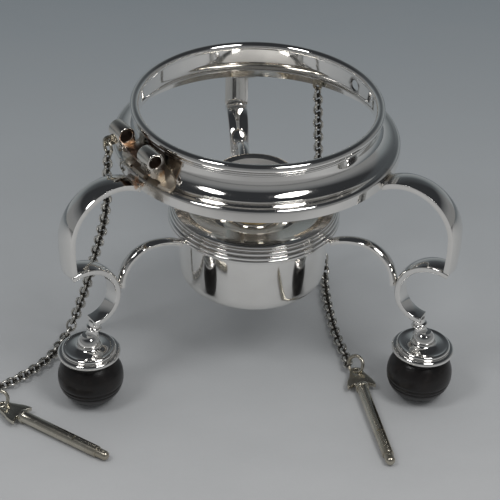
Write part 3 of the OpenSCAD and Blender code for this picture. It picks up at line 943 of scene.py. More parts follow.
@dataclass
class Chain:
    """A chain of round links along a route, each turned a quarter from the last.

    No link's middle goes under the lift or left of the left limit, and each link's turn
    strays from the quarter by up to the stray angle.
    """

    FINE_STEPS = 12
    END_FROM = 0.3

    name: str
    route: Sequence[Triple]
    width: float = 4.6
    pitch: float = 3.65
    link_long: float = 6.3
    link_wide: float = 5.8
    wire: float = 1.3
    roll: float = 18.0
    lift: float = 3.0
    left_limit: float = -130.75
    stray: float = 4.0

    def points(self) -> list[Vector]:
        """The route's points in metres."""
        return [spot(*p) for p in self.route]

    def length(self) -> float:
        """The route's length in metres."""
        points = self.points()
        return sum((b - a).length for a, b in zip(points, points[1:]))

    def _smooth(self) -> list[Vector]:
        """The route as a finer line through the same points, smoothed by a cubic spline."""
        p = self.points()
        p = [p[0] * 2 - p[1]] + p + [p[-1] * 2 - p[-2]]
        fine: list[Vector] = []
        for i in range(1, len(p) - 2):
            for k in range(self.FINE_STEPS):
                t = k / self.FINE_STEPS
                fine.append(
                    0.5 * (
                        2 * p[i] + (p[i + 1] - p[i - 1]) * t
                        + (2 * p[i - 1] - 5 * p[i] + 4 * p[i + 1] - p[i + 2]) * t * t
                        + (3 * p[i] - p[i - 1] - 3 * p[i + 1] + p[i + 2]) * t ** 3
                    )
                )
        fine.append(p[-2])
        return fine

    def _frames(self) -> list[Matrix]:
        """Place and turn of each link along the route.

        Returns:
            One matrix per link, its X along the chain and its Y across the link.
        """
        fine = self._smooth()
        gaps = [(b - a).length for a, b in zip(fine, fine[1:])]
        count = max(2, round(sum(gaps) / (self.pitch * MM)))
        step = sum(gaps) / count
        side = Vector((0.3, 1.0, 0.2))
        frames: list[Matrix] = []
        walked, index = 0.0, 0
        for k in range(count):
            aim = (k + 0.5) * step
            while index < len(gaps) - 1 and walked + gaps[index] < aim:
                walked += gaps[index]
                index += 1
            along = (fine[index + 1] - fine[index]).normalized()
            here = fine[index] + along * (aim - walked)
            here.z = max(here.z, (self.lift - TABLE_H) * MM)
            here.x = max(here.x, self.left_limit * MM)
            side = (side - along * side.dot(along)).normalized()
            up = along.cross(side)
            turn = math.radians(self.roll + 90.0 * (k % 2) + self.stray * math.sin(2.3 * k))
            across = side * math.cos(turn) + up * math.sin(turn)
            axes = Matrix((along, across, along.cross(across))).transposed().to_4x4()
            frames.append(Matrix.Translation(here) @ axes)
        return frames

    def _link(self) -> Piece:
        """One oval link lying along X."""
        Bench.clear()
        bpy.ops.mesh.primitive_torus_add(
            major_segments=14, minor_segments=6,
            major_radius=(self.link_wide - self.wire) / 2 * MM, minor_radius=self.wire / 2 * MM,
        )
        link = bpy.context.object
        stretch = (self.link_long - self.link_wide) / 2 * MM
        bpy.ops.object.mode_set(mode="EDIT")
        for sign in (1, -1):
            bpy.ops.mesh.select_all(action="DESELECT")
            bpy.ops.object.mode_set(mode="OBJECT")
            for vertex in link.data.vertices:
                vertex.select = vertex.co.x * sign > self.END_FROM * MM
            bpy.ops.object.mode_set(mode="EDIT")
            bpy.ops.transform.translate(value=(sign * stretch, 0, 0))
        bpy.ops.object.mode_set(mode="OBJECT")
        return link

    def _measure_outward(self, piece: Piece, frames: Sequence[Matrix]) -> None:
        """Stores on each point how far it lies from the chain's middle line, from 0 to 1."""
        half = self.link_wide / 2 * MM
        store = piece.data.attributes.new("outward", "FLOAT", "POINT")
        per_link = len(piece.data.vertices) // len(frames)
        for i, vertex in enumerate(piece.data.vertices):
            frame = frames[min(i // per_link, len(frames) - 1)]
            away = frame.inverted() @ vertex.co
            store.data[i].value = min(1.0, Vector((away.y, away.z)).length / half)

    def build(self, finish: Material, on_end: Sequence[Piece]) -> None:
        pattern = self._link()
        frames = self._frames()
        links = []
        for frame in frames:
            link = pattern.copy()
            link.data = pattern.data.copy()
            bpy.context.scene.collection.objects.link(link)
            link.matrix_world = frame
            links.append(link)
        bpy.data.objects.remove(pattern, do_unlink=True)
        Bench.clear()
        for link in links:
            link.select_set(True)
        bpy.context.view_layer.objects.active = links[0]
        bpy.ops.object.transform_apply(location=True, rotation=True, scale=True)
        piece = Bench.join(links, self.name + "_links")
        self._measure_outward(piece, frames)
        Bench.shade(piece, 80.0)
        dress(piece, finish, Body.STAND, self.name)
        path = [tuple(p) for p in self.points()]
        self.length()
        self.width * MM


# ---------------------------------------------------------------- locking pins


@dataclass
class LockingPin:
    """A rolled pin with a collar, a heart-shaped thumb plate and a ring, lying on the table."""

    side: str
    head: Pair
    azimuth: float
    length: float
    diameter: float = 5.4
    tip_diameter: float = 4.5
    tip_length: float = 6.0
    collar_radius: float = 3.3
    collar_height: float = 1.8
    plate_width: float = 13.5
    plate_length: float = 14.0
    plate_thickness: float = 2.0
    neck: float = 3.3
    hole_radius: float = 1.9
    hole_in: float = 3.0
    ring_radius: float = 4.0
    ring_wire: float = 0.85
    ring_rise: float = 53.0
    ring_roll: float = 45.0

    def tilt(self) -> float:
        """Slope of the pin, whose shaft's end touches the table, in radians."""
        return math.asin((self.collar_radius - self.diameter / 2) / (self.length - self.tip_length))

    def lying(self) -> Matrix:
        """Places a shape drawn with the rod along +X from the head."""
        move = Matrix.Translation(spot(self.head[0], self.head[1], self.collar_radius))
        return move @ about_axis(self.azimuth) @ Matrix.Rotation(self.tilt(), 4, "Y")

    def ring_side(self) -> Triple:
        """Side of the ring where the chain is linked on, in millimetres over the table."""
        rise, roll = math.radians(self.ring_rise), math.radians(self.ring_roll)
        x = self.hole_in - self.plate_length - self.ring_radius * (
            math.cos(rise) + math.sin(roll) * math.sin(rise)
        )
        y = -self.ring_radius * math.cos(roll)
        z = self.ring_radius * (math.sin(rise) - math.sin(roll) * math.cos(rise))
        x, y = turned_by(self.azimuth, x, y)
        return (self.head[0] + x, self.head[1] + y, self.collar_radius + z)

    def _groove(self, name: str, start: float, end: float, half: float, depth: float) -> Piece:
        """A block that cuts a groove into the rod's upper side.

        Args:
            name: the block's name.
            start: where it starts along the rod.
            end: where it ends along the rod.
            half: half the groove's width.
            depth: height of the groove's floor as a part of the rod's radius.

        Returns:
            The block.
        """
        corners = ((start, -half), (end, -half), (end, half), (start, half))
        floor = level(corners, self.diameter / 2 * depth)
        return Bench.slab(name, floor, Vector((0, 0, 2 * MM)))

    def _rod(self) -> Piece:
        """The rolled rod with its collar, stepped tip, seam and notch."""
        shaft = self.length - self.tip_length
        r, tip = self.diameter / 2, self.tip_diameter / 2
        outline = [(0.0, 0.0), (self.collar_radius - 0.3, 0.0)]
        outline += arc(self.collar_radius - 0.3, 0.3, 0.3, -90, 0, 4)
        outline += arc(self.collar_radius - 0.3, self.collar_height - 0.3, 0.3, 0, 90, 4)
        outline += [(r + 0.1, self.collar_height), (r, self.collar_height + 0.3)]
        outline += [(r, shaft * k / 6) for k in range(1, 6)]
        outline += [(r, shaft - 0.3), (r - 0.3, shaft), (tip, shaft), (tip, self.length - tip)]
        outline += arc(0.0, self.length - tip, tip, 0, 90, 8)[1:-1] + [(0.0, self.length)]
        rod = Bench.turned("rod", outline, steps=64, base=0.0)
        Bench.place(rod, Matrix.Rotation(math.pi / 2, 4, "Y"))
        seam = self._groove("seam", 3.0, shaft, 0.22, 0.86)
        Bench.place(seam, Matrix.Rotation(math.radians(-32), 4, "X"))
        Bench.cut(rod, seam)
        notch_at = shaft * 0.70
        Bench.cut(rod, self._groove("notch", notch_at - 0.5, notch_at + 0.5, 3.0, 0.72))
        return rod

    def _plate(self) -> Piece:
        """The thumb plate with barbs beside the collar and a holed end."""
        half, neck, long = self.plate_width / 2, self.neck, self.plate_length
        side = [
            (0.0, 1.6), (-1.2, 3.2), (0.2, half - 1.2), (0.6, half), (-0.9, half),
            (-2.4, half - 0.3), (-4.3, half * 0.88), (-6.0, half * 0.74), (-8.5, half * 0.60),
            (3 - long, neck), (0.8 - long, neck * 0.8), (-long, neck * 0.3),
        ]
        outline = [(x, -y) for x, y in side] + [(x, y) for x, y in reversed(side)]
        thick = self.plate_thickness
        plate = Bench.slab("plate", level(outline, -thick / 2), Vector((0, 0, thick * MM)))
        hole_at = Vector((self.hole_in - long, 0, 0)) * MM
        through = Vector((0, 0, 10 * MM))
        hole = Bench.peg("hole", self.hole_radius, hole_at - through, hole_at + through, 32)
        Bench.cut(plate, hole)
        Bench.soften(plate, 0.35, 3, 40)
        return plate

    def _ring(self) -> Piece:
        """The wire ring, leaning back through the plate's hole."""
        ring = Bench.turned("ring", circle(self.ring_radius, 0, self.ring_wire, 24), 48, 0.0)
        lean = Matrix.Translation(Vector(((self.hole_in - self.plate_length) * MM, 0, 0)))
        lean = lean @ Matrix.Rotation(math.radians(self.ring_rise), 4, "Y")
        lean = lean @ Matrix.Translation(Vector((-self.ring_radius * MM, 0, 0)))
        Bench.place(ring, lean @ Matrix.Rotation(math.radians(self.ring_roll), 4, "X"))
        return ring

    def build(self, finish: Material) -> list[Piece]:
        """Makes the pin's rod, plate and ring where they lie, and returns them in that order."""
        made = []
        for piece, stem, node in (
            (self._rod(), "pin_rod_", "pin_"),
            (self._plate(), "pin_plate_", "thumb_plate_"),
            (self._ring(), "pin_loop_", "pin_ring_"),
        ):
            piece.name = stem + self.side
            Bench.place(piece, self.lying())
            Bench.shade(piece, 40.0)
            made.append(dress(piece, finish, Body.STAND, node + self.side))
        return made


# ---------------------------------------------------------------- collar


@dataclass
class Collar:
    """The spun collar: upright wall, turned-out flange with a lip, bead and two reeds."""

    bore: float = 54.4
    sheet: float = 1.0
    top: float = 131.9
    wall_foot: float = SWEEP_CENTRE[1]
    turn: float = SWEEP_R
    lip: float = LIP_R
    lip_foot: float = 110.3
    lip_round: float = 1.85
    fall: float = 0.15
    bead: float = 2.06
    bead_proud: float = 0.2
    reed_pitch: float = 1.1
    reed_round: float = 1.25
    reed_proud: float = 0.42
    lock_radius: float = 3.0
    steps: int = 256

    @property
    def wall(self) -> float:
        """Outside radius of the wall."""
        return self.bore + self.sheet

    @property
    def bead_ring(self) -> float:
        """Radius of the bead's middle line."""
        return self.bore + self.bead - self.bead_proud

    @property
    def lip_top(self) -> float:
        """Height of the middle of the lip's round."""
        return self.wall_foot - self.turn - self.fall - self.lip_round

    def _lock_peg(self) -> Piece:
        """The peg that cuts the lock hole."""
        ends = [polar(self.bore + out, LOCK_AZ, LOCK_HEIGHT) for out in (-3, 6)]
        return Bench.peg("lock", self.lock_radius, *ends)

    def _shell(self) -> Piece:
        """Wall, flange and lip."""
        root = self.wall + self.turn
        lip_mid = self.lip - self.lip_round
        outline = [(self.bore, self.top), (self.wall, self.top)]
        outline += arc(root, self.wall_foot, self.turn, 180, 270, 24)
        outline += arc(lip_mid, self.lip_top, self.lip_round, 90, 0, 10)
        outline += [(self.lip, self.lip_foot + 0.3), (self.lip - 0.3, self.lip_foot)]
        outline += [(self.lip - self.sheet, self.lip_foot)]
        outline += arc(lip_mid, self.lip_top, self.lip_round - self.sheet, 0, 90, 8)
        outline += arc(root, self.wall_foot, self.turn + self.sheet, 270, 180, 24)
        shell = Bench.turned("collar_shell", outline, self.steps)
        Bench.cut(shell, self._lock_peg())
        return shell

    def _reeds(self) -> Piece:
        """Two small reeds under the bead."""
        top = self.top - self.bead + 0.1
        out, pitch = self.wall + 0.5, self.reed_pitch
        outline = [(self.wall - 0.2, top - 2 * pitch), (out, top - 2 * pitch)]
        for k in (1.5, 0.5):
            middle = out + self.reed_proud - self.reed_round
            outline += arc(middle, top - k * pitch, self.reed_round, -25, 25, 6)
        outline += [(out, top), (self.wall - 0.2, top)]
        reeds = Bench.turned("collar_reed_band", outline, self.steps)
        Bench.cut(reeds, self._lock_peg())
        return reeds

    def build(self, finish: Material) -> None:
        """Makes the shell, the bead and the reeds and dresses them."""
        wire = circle(self.bead_ring, self.top, self.bead, 32)
        bead = Bench.turned("collar_bead_wire", wire, self.steps)
        pieces = ((self._shell(), "collar"), (bead, "collar_bead"), (self._reeds(), "collar_reeds"))
        for piece, node in pieces:
            Bench.shade(piece, 32.0)
            dress(piece, finish, Body.STAND, node)


# ---------------------------------------------------------------- hinge


@dataclass
class Hinge:
    """Two bored knuckles that stand on the flange, with a shelf between them."""

    reach: float = 63.6
    height: float = 129.0
    radius: float = 4.2
    length: float = 9.5
    gap: float = 16.5
    bore: float = 3.0
    outer: float = 65.85
    foot_gap: float = 0.5
    bridge_root: float = 55.6
    bridge_thickness: float = 1.2

    def _knuckle(self) -> Piece:
        """The near knuckle: a tube with a flat outer side, on a foot that stands on the flange."""
        start = self.gap / 2
        r = self.radius
        low = math.degrees(math.acos((self.outer - self.reach) / r))
        outline = arc(self.reach, self.height, r, 180, -low, 32)
        outline += [
            (self.outer, 122.2), (65.2, 121.3), (63.4, 120.4), (62.0, 119.4), (61.2, 118.2),
        ]
        outline += arc(*SWEEP_CENTRE, SWEEP_R + self.foot_gap, 250, 232, 4)
        points = [spot(x, start, z) for x, z in outline]
        knuckle = Bench.slab("knuckle", points, Vector((0, self.length * MM, 0)))
        ends = [spot(self.reach, y, self.height) for y in (start - 2, start + self.length + 2)]
        Bench.cut(knuckle, Bench.peg("bore", self.bore, *ends))
        Bench.soften(knuckle, 0.35, 3, 45)
        return knuckle

    def _paint_bore(self, knuckle: Piece, dark: Material) -> None:
        """Gives the faces inside the bore the dark finish, painted shade inside the hole."""
        knuckle.data.materials.append(dark)
        for face in knuckle.data.polygons:
            middle = face.center - spot(self.reach, 0, self.height)
            inside = math.hypot(middle.x, middle.z) < (self.bore + 0.15) * MM
            if inside and abs(face.normal.y) < 0.5:
                face.material_index = 1

    def _bridge(self) -> Piece:
        """The shelf between the knuckles."""
        top = self.height - self.radius
        half = self.gap / 2 + 0.4
        root, edge = self.bridge_root, self.outer - 0.2
        corners = ((root, -half), (edge, -half), (edge, half), (root, half))
        shelf = Bench.slab(
            "hinge_shelf", [spot(x, y, top - self.bridge_thickness) for x, y in corners],
            Vector((0, 0, self.bridge_thickness * MM)),
        )
        Bench.soften(shelf, 0.3, 2, 50)
        return shelf

    def build(self, finish: Material, dark: Material) -> None:
        """Makes the knuckles and the shelf and turns them to the hinge's place."""
        near = self._knuckle()
        near.name = "hinge_barrel_near"
        near.data.materials.append(finish)
        self._paint_bore(near, dark)
        far = Bench.copy(near, "hinge_barrel_far")
        Bench.place(far, Matrix.Translation(Vector((0, -(self.gap + self.length) * MM, 0))))
        shelf = self._bridge()
        for piece, node in ((near, "knuckle_near"), (far, "knuckle_far"), (shelf, "bridge")):
            Bench.place(piece, about_axis(HINGE_AZ))
            Bench.shade(piece, 38.0)
            dress(piece, finish, Body.STAND, "hinge_" + node)


@dataclass
class ChainLink:
    """The wire link that hangs in the left eye."""

    radius: float = 3.3
    wire: float = 0.75
    out: float = 69.15
    along: float = -15.75
    eye_height: float = 124.4

    def build(self, finish: Material) -> None:
        """Makes the link and hangs it in its eye."""
        link = Bench.turned("jump_link", circle(self.radius, 0, self.wire, 24), 40, 0.0)
        middle = spot(self.out, self.along, self.eye_height - self.radius)
        hang = about_axis(HINGE_AZ) @ Matrix.Translation(middle)
        Bench.place(link, hang @ Matrix.Rotation(math.pi / 2, 4, "Y"))
        Bench.shade(link, 60.0)
        dress(link, finish, Body.STAND, "chain_link_left")


# ---------------------------------------------------------------- legs


@dataclass(frozen=True)
class Curve:
    """One arc of a scroll's middle line, in the leg's upright plane."""

    reach: float
    height: float
    radius: float
    start: float
    end: float
    steps: int


@dataclass
class Strap:
    """A strap with a crowned outer face that follows two arcs."""

    name: str
    first: Curve
    second: Curve
    width: float
    end_width: float
    thickness: float
    crown: float = 1.1

    def _section(self) -> list[Vector]:
        """The strap's section at the start of its first arc."""
        curve, turn = self.first, math.radians(self.first.start)
        flat, half = self.thickness / 2, self.width / 2
        parts = [k / 5 - 1 for k in range(11)]
        offsets = [(flat - self.crown * v * v, v * half) for v in parts]
        offsets += [(-flat, half), (-flat, -half)]
        return [
            spot(
                curve.reach + (curve.radius + q) * math.cos(turn), across,
                curve.height + (curve.radius + q) * math.sin(turn),
            )
            for q, across in offsets
        ]

    def _narrow(self, strap: Piece) -> None:
        """Scales the strap's width step by step towards its end."""
        turned_before = 0.0
        whole = sum(c.radius * abs(c.end - c.start) for c in (self.first, self.second))
        for curve in (self.first, self.second):
            for k in range(curve.steps + 1):
                if curve is self.second and k == 0:
                    continue
                angle = curve.start + (curve.end - curve.start) * k / curve.steps
                done = (turned_before + curve.radius * abs(angle - curve.start)) / whole
                factor = 1 + (self.end_width / self.width - 1) * done
                centre = spot(curve.reach, 0, curve.height)
                bpy.ops.object.mode_set(mode="EDIT")
                bpy.ops.mesh.select_all(action="DESELECT")
                bpy.ops.object.mode_set(mode="OBJECT")
                for vertex in strap.data.vertices:
                    away = vertex.co - centre
                    astray = abs(math.hypot(away.x, away.z) - curve.radius * MM)
                    here = math.degrees(math.atan2(away.z, away.x))
                    off = (here - angle + 180) % 360 - 180
                    vertex.select = astray < self.thickness * MM and abs(off) < 0.2
                bpy.ops.object.mode_set(mode="EDIT")
                bpy.ops.transform.resize(value=(1, factor, 1), center_override=(0, 0, 0))
            turned_before += curve.radius * abs(curve.end - curve.start)
        bpy.ops.object.mode_set(mode="OBJECT")

    def build(self) -> Piece:
        """Draws the section and spins it along both arcs.

        Returns:
            The strap in the plane of a leg that points along +X.
        """
        strap = Bench.line(self.name, self._section(), closed=True)
        bpy.ops.mesh.edge_face_add()
        for curve in (self.first, self.second):
            bpy.ops.mesh.spin(
                steps=curve.steps, angle=math.radians(curve.end - curve.start),
                center=spot(curve.reach, 0, curve.height), axis=(0, 1, 0),
            )
        Bench.finish_mesh(strap)
        if self.end_width != self.width:
            self._narrow(strap)
        return strap


@dataclass
class Legs:
    """The scrolled legs and the arms that carry the burner's holder."""

    holder: float = 40.4
    upper: Strap = field(default_factory=lambda: Strap(
        "upper_scroll",
        Curve(-18.8, 91.0, 120.0, -7.8, 0.0, 4), Curve(77.8, 91.0, 23.4, 0.0, 123.0, 30),
        width=11.4, end_width=11.4, thickness=3.6,
    ))
    lower: Strap = field(default_factory=lambda: Strap(
        "lower_scroll",
        Curve(94.2, 56.3, 18.4, 69.0, 180.0, 28), Curve(88.9, 56.3, 13.1, 180.0, 268.0, 19),
        width=11.0, end_width=7.6, thickness=3.6,
    ))
    arm: Strap = field(default_factory=lambda: Strap(
        "holder_arm",
        Curve(56.2, 58.6, 16.9, -3.0, 90.0, 20), Curve(56.2, 46.6, 28.9, 90.0, 123.0, 10),
        width=5.2, end_width=5.2, thickness=2.6,
    ))

    def _inside(self) -> Piece:
        """Everything inside the crowned face of the lower scroll's big arc."""
        curve = self.lower.first
        radius = curve.radius + self.lower.thickness / 2 - 0.5
        ends = [spot(curve.reach, across, curve.height) for across in (-20, 20)]
        return Bench.peg("inside", radius, *ends, facets=128)

    def build(self, finish: Material) -> None:
        """Makes each strap once and copies it to the three legs."""
        upper, lower, arm = self.upper.build(), self.lower.build(), self.arm.build()
        Bench.cut(upper, self._inside())
        Bench.cut(arm, self._inside())
        Bench.cut(upper, Bench.peg("lip", LIP_R - 0.4, spot(0, 0, 60), spot(0, 0, 140), 256))
        Bench.cut(arm, Bench.peg("ring", self.holder - 0.6, spot(0, 0, 40), spot(0, 0, 90), 160))
        for pattern, stem, node in (
            (upper, "scroll_top_", "leg_upper_"),
            (lower, "scroll_foot_", "leg_lower_"),
            (arm, "holder_arm_", "burner_arm_"),
        ):
            Bench.soften(pattern, 0.45, 3, 40)
            Bench.shade(pattern, 40.0)
            stand_on_legs(pattern, finish, stem, node)


# ---------------------------------------------------------------- feet


@dataclass
class Feet:
    """Turned wood balls under silver caps, each with a knop and a leaning neck."""

    reach: float = 88.8
    ball_middle: float = 13.5
    ball_radius: float = 15.3
    ball_half: float = 14.2
    seat: float = 12.4
    lean: float = 3.0
    cap_radius: float = 14.6
    knop_radius: float = 5.2
    knop_up: float = 18.6
    neck_lean: float = 13.0
    grooves: Pair = (-2.2, -4.4)
    groove_depth: float = 0.42

    def _cap_outline(self) -> list[Pair]:
        """Outline of cap and knop over the ball's middle."""
        cap, seat = self.cap_radius, self.seat
        outline = [(0.0, seat), (cap - 1.4, seat)]
        outline += arc(cap - 1.3, seat + 1.3, 1.3, -90, 90, 12)
        outline += [(cap - 2.0, seat + 2.55)]
        outline += arc(cap - 3.1, seat + 3.2, 1.1, -25, 100, 10)
        outline += [
            (cap - 3.9, seat + 3.95), (cap - 5.2, seat + 4.05), (8.0, seat + 4.35),
            (6.4, seat + 4.75), (5.75, seat + 5.05), (5.35, seat + 5.5), (5.2, seat + 6.0),
        ]
        outline += arc(0.0, self.knop_up, self.knop_radius, 4, 50, 10)
        outline += [(2.9, self.knop_up + 4.7), (0.0, self.knop_up + 4.9)]
        return outline

    def _neck_outline(self) -> list[Pair]:
        """Outline of the neck with its small bead, from the knop's middle."""
        outline = [(0.0, 2.6), (3.9, 3.2), (3.3, 4.0), (2.85, 4.9), (2.65, 5.8), (2.7, 6.7)]
        outline += arc(2.85, 7.8, 0.95, -80, 80, 10)
        outline += [(2.75, 8.9), (2.75, 9.6), (2.8, 10.4), (2.9, 11.0), (0.0, 11.2)]
        return outline

    def _ball_outline(self) -> list[Pair]:
        """Outline of the ball with two grooves under its middle."""
        outline = [(0.0, -self.ball_half)]
        for k in range(1, 60):
            turn = math.radians(-90 + 3 * k)
            r, up = self.ball_radius * math.cos(turn), self.ball_half * math.sin(turn)
            if up > self.seat - 0.4:
                break
            for groove in self.grooves:
                r -= self.groove_depth * max(0.0, 1 - abs(up - groove) / 0.5)
            outline.append((r, up))
        outline += [(self.ball_radius * 0.47, self.seat), (0.0, self.seat)]
        return outline

    def build(self, silver: Material, wood: Material) -> None:
        """Makes one foot and copies it to the three legs."""
        stand = Matrix.Translation(spot(self.reach, 0, self.ball_middle))
        tip = stand @ Matrix.Rotation(math.radians(self.lean), 4, "Y")
        cap = Bench.turned("cap", self._cap_outline(), 96, 0.0)
        Bench.place(cap, tip)
        neck = Bench.turned("neck", self._neck_outline(), 64, 0.0)
        rise = stand @ Matrix.Translation(Vector((0, 0, self.knop_up * MM)))
        Bench.place(neck, rise @ Matrix.Rotation(math.radians(-self.neck_lean), 4, "Y"))
        cap = Bench.join([cap, neck], "cap")
        ball = Bench.turned("ball", self._ball_outline(), 96, 0.0)
        Bench.place(ball, tip)
        Bench.edit(ball)
        bpy.ops.mesh.bisect(
            plane_co=(0, 0, -TABLE_H * MM), plane_no=(0, 0, 1), use_fill=True,
            clear_inner=True, threshold=1e-6,
        )
        Bench.finish_mesh(ball)
        for pattern, stem, node, finish, slot in (
            (cap, "foot_silver_", "foot_cap_", silver, "polished_silver"),
            (ball, "foot_wood_", "foot_ball_", wood, "turned_wood"),
        ):
            Bench.shade(pattern, 42.0)
            stand_on_legs(pattern, finish, stem, node)


# ---------------------------------------------------------------- burner


@dataclass
class Burner:
    """The reeded holder, the pot that hangs in it by its rim, its plate and the wick."""

    pot: float = 35.7
    wall: float = 0.8
    foot: float = 38.4
    foot_radius: float = 34.5
    foot_round: float = 8.0
    guide: float = 66.0
    rest: float = 77.0
    rim_radius: float = 39.1
    rim_height: float = 2.3
    holder_bore: float = 36.1
    holder_radius: float = 40.4
    holder_foot: float = 70.7
    tube_radius: float = 8.0
    tube_foot: float = 58.0
    tube_top: float = 86.0
    plate: float = 76.1
    wick_radius: float = 6.8
    wick_foot: float = 42.0
    wick_top: float = 88.4

    def _holder(self) -> Piece:
        """The reeded ring that the arms carry."""
        band, low, top = self.holder_radius, self.holder_foot, self.rest
        outline = [(self.holder_bore, low + 0.3), (self.holder_bore + 0.3, low), (band - 1.2, low)]
        outline += arc(band - 1.2, low + 1.2, 1.2, -90, 60, 10)
        outline += arc(band - 1.2, low + 3.0, 1.1, -60, 70, 8)
        outline += arc(band - 1.7, top - 1.1, 1.05, -60, 90, 10)
        outline += [(self.holder_bore, top)]
        return Bench.turned("holder_ring", outline)

    def _pot(self) -> Piece:
        """The pot with its round foot."""
        inner, mouth = self.pot - self.wall, self.rest + self.rim_height
        cx, cz = self.foot_radius - self.foot_round, self.foot + self.foot_round
        outline = [(0.0, self.foot), (14.0, self.foot)]
        outline += arc(cx, cz, self.foot_round, -90, 0, 16)
        outline += [
            (self.pot, self.guide), (self.pot, mouth - 0.3), (self.pot - 0.3, mouth),
            (inner, mouth), (inner, self.guide),
        ]
        outline += arc(cx, cz, self.foot_round - self.wall, 0, -90, 12)
        outline += [(0.0, self.foot + self.wall)]
        return Bench.turned("burner_bowl", outline)

    def _rim(self) -> Piece:
        """The rounded wire of two reeds round the pot's mouth."""
        low, high = self.rest, self.rest + self.rim_height
        outline = [(self.pot - 0.2, low)]
        outline += arc(self.rim_radius - 0.75, low + 0.75, 0.74, -90, 62, 10)
        outline += arc(self.rim_radius - 1.35, high - 0.62, 0.62, -30, 90, 10)
        outline += [(self.pot - 0.2, high)]
        return Bench.turned("burner_reeded_rim", outline)

    def _top(self) -> Piece:
        """The stepped plate that closes the pot."""
        inner, shelf, h = self.pot - self.wall, self.rest + 1.2, self.plate
        outline = [(8.25, h - 0.8), (8.25, h), (14.5, h), (21.2, h - 0.45)]
        outline += arc(22.3, h - 0.5, 0.6, 200, 90, 5) + [(29.8, h + 0.55), (30.6, h + 0.9)]
        outline += arc(31.6, shelf - 0.5, 0.5, 170, 90, 5)
        outline += [(inner, shelf), (inner, shelf - 0.8), (31.8, shelf - 0.8)]
        outline += [(31.0, h - 0.2), (22.5, h - 0.8), (22.0, h - 1.3), (14.5, h - 0.8)]
        return Bench.turned("burner_lid", outline)

    def _tube(self) -> Piece:
        """The wick tube with its round flange."""
        r, inner, h, top = self.tube_radius, self.tube_radius - 1.0, self.plate, self.tube_top
        outline = [
            (inner, self.tube_foot), (r, self.tube_foot), (r, h), (13.0, h), (13.0, h + 0.7),
            (12.8, h + 0.9), (r + 0.3, h + 0.9), (r, h + 1.3), (r, top - 0.3), (r - 0.3, top),
            (inner + 0.2, top), (inner, top - 0.2),
        ]
        return Bench.turned("wick_sleeve", outline, 96)

    def _wick(self) -> Piece:
        """The plaited wick with a ragged top."""
        r, low, top = self.wick_radius, self.wick_foot, self.wick_top
        outline = [(0.0, low), (r - 0.6, low), (r, low + 0.6)]
        outline += [(r, height) for height in (52.0, 60.0, 70.0, 80.0, top - 0.9)]
        outline += [(r - 0.9, top - 0.2), (r * 0.5, top), (0.0, top - 0.5)]
        wick = Bench.turned("plaited_wick", outline, 48)
        Bench.edit(wick)
        bpy.ops.mesh.subdivide(number_cuts=1)
        Bench.finish_mesh(wick)
        return wick

    def build(self, finishes: Finishes) -> None:
        """Makes the burner's pieces and dresses them."""
        silver, warm = finishes.polished, finishes.burner
        for piece, node, finish, slot, body in (
            (self._holder(), "burner_holder", silver, "polished_silver", Body.STAND),
            (self._pot(), "burner_pot", silver, "polished_silver", Body.BURNER),
            (self._rim(), "burner_rim", silver, "polished_silver", Body.BURNER),
            (self._top(), "burner_top", warm, "polished_silver", Body.BURNER),
            (self._tube(), "wick_tube", finishes.brass, "brass_fitting", Body.BURNER),
            (self._wick(), "wick", finishes.cotton, "cotton_wick", Body.BURNER),
        ):
            Bench.shade(piece, 30.0)
            dress(piece, finish, body, node)


@dataclass
class Snuffer:
    """The loose snuffer cap: a waisted side that flares to a dished top."""

    foot: float = 77.0
    top: float = 94.5
    foot_radius: float = 12.4
    waist: float = 10.6
    top_radius: float = 19.3
    wall: float = 0.9
    dish: float = 2.6
    steps: int = 32

    def side(self, part: float) -> float:
        """Outside radius at a part of the height from 0 to 1."""
        return (
            self.waist + (self.foot_radius - self.waist) * (1 - part) ** 6
            + (self.top_radius - self.waist) * part ** 3.2
        )

    def build(self, finish: Material, satin: Material) -> None:
        """Makes the cap's side and its dished top."""
        rise = self.top - self.foot
        places = [k / self.steps for k in range(self.steps + 1)]
        outline = [(self.side(v), self.foot + rise * v) for v in places]
        outline += [(self.side(1) - self.wall / 2, self.top)]
        outline += [(self.side(v) - self.wall, self.foot + rise * v) for v in reversed(places)]
        cap = Bench.turned("snuffer_side", outline, 128)
        (r, h), under = (
            (self.side(part) - self.wall, self.foot + rise * part) for part in (15 / 16, 14 / 16)
        )
        falls = ((0.0, 1.0), (0.3, 0.96), (0.55, 0.75), (0.8, 0.36), (1.0, 0.0))
        dish = [(r * out, h - self.dish * fall) for out, fall in falls] + [under]
        dish += [(r * 0.5, h - self.dish * 0.7 - 0.8), (0.0, h - self.dish - 0.8)]
        lid = Bench.turned("snuffer_dish", dish, 128)
        for piece, paint, node in ((cap, finish, "snuffer_cap"), (lid, satin, "snuffer_top")):
            Bench.shade(piece, 40.0)
            dress(piece, paint, Body.SNUFFER, node)


# ---------------------------------------------------------------- all together


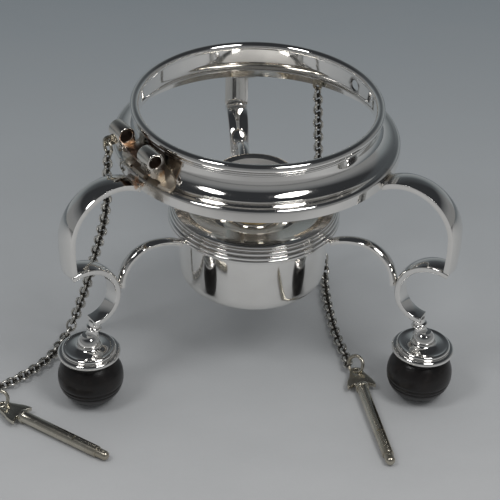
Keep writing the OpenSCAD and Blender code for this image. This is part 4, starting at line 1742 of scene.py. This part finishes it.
LEFT_ROUTE: tuple[Triple, ...] = (
    (-68.7, -17.4, 111), (-68.9, -15.4, 100), (-69.2, -12.4, 87), (-70.6, -9, 74),
    (-72.4, -6.6, 64), (-74.4, -3.8, 54), (-76.6, -1, 42), (-79, 1.6, 31), (-81.8, 4, 20),
    (-84.4, 5, 11.5), (-86.8, 4, 5.6), (-88.8, 0.8, 2.8), (-91, -4.4, 2.3),
    (-95.4, -14.2, 2.3), (-101, -22, 2.3), (-108, -29.8, 2.3), (-116, -36.6, 2.3),
    (-124, -41.4, 2.3), (-129.6, -45, 2.3), (-131.6, -49.4, 2.3), (-129.4, -52.8, 2.8),
)
RIGHT_ROUTE: tuple[Triple, ...] = (
    (33.4, 54.2, 104), (34.1, 55, 92), (34.9, 56, 78), (35.8, 57, 64), (36.9, 58, 50),
    (38, 58.8, 37), (39.2, 59.4, 25), (40.4, 58.8, 14), (41.2, 56.4, 6.8), (41.2, 51.4, 3),
    (40.6, 45, 2.3), (40.4, 35, 2.3), (40.5, 25, 2.3), (41, 15, 2.3), (41.8, 4, 2.3),
    (43.2, -7, 2.3), (44.8, -15, 2.3), (45.6, -21.6, 3.2),
)
RIGHT_EYE = (62.6, 58.4, 109.6)


def left_hang() -> Triple:
    """Lowest point of the link in the left eye, in millimetres over the table."""
    link = ChainLink()
    return (*turned_by(HINGE_AZ, link.out, link.along), link.eye_height - 2 * link.radius)


def right_hang() -> Triple:
    """Foot of the right eye, in millimetres over the table."""
    reach, azimuth, height = RIGHT_EYE
    return (*turned_by(azimuth, reach, 0.0), height)


def build_pins_and_chains(finishes: Finishes) -> None:
    """Makes both pins and the chains that lead to them."""
    left = LockingPin("left", head=(-108.7, -61.9), azimuth=-38.0, length=50.0)
    right = LockingPin("right", head=(50.6, -42.6), azimuth=-82.3, length=58.0)
    left_course, right_course = (left_hang(), *LEFT_ROUTE), (right_hang(), *RIGHT_ROUTE)
    for pin, course in ((left, left_course), (right, right_course)):
        on_end = pin.build(finishes.worn)
        Chain("chain_" + pin.side, (*course, pin.ring_side())).build(finishes.chain, on_end)


def main() -> None:
    """Builds the whole scene."""
    logging.basicConfig(level=logging.INFO, format="%(message)s")
    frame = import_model()
    finishes = Finishes()
    studio = Studio()
    studio.make_camera()
    build_pins_and_chains(finishes)
    studio.make_table(finishes.table)
    studio.make_light()
    Collar().build(finishes.collar)
    Hinge().build(finishes.hinge, finishes.bore)
    ChainLink().build(finishes.worn)
    Legs().build(finishes.polished)
    Feet().build(finishes.polished, finishes.wood)
    Burner().build(finishes)
    Snuffer().build(finishes.polished, finishes.satin)
    for leg in Leg:
        repaint(frame["nodes"]["foot_stud_" + leg.tag], finishes.worn)
        repaint(frame["nodes"]["foot_nut_" + leg.tag], finishes.brass)
    for side in ("left", "right"):
        repaint(frame["nodes"]["chain_eye_" + side], finishes.worn)
    for place in ("near", "far"):
        repaint(frame["nodes"]["hinge_leaf_" + place], finishes.leaf)


if __name__ == "__main__":
    main()
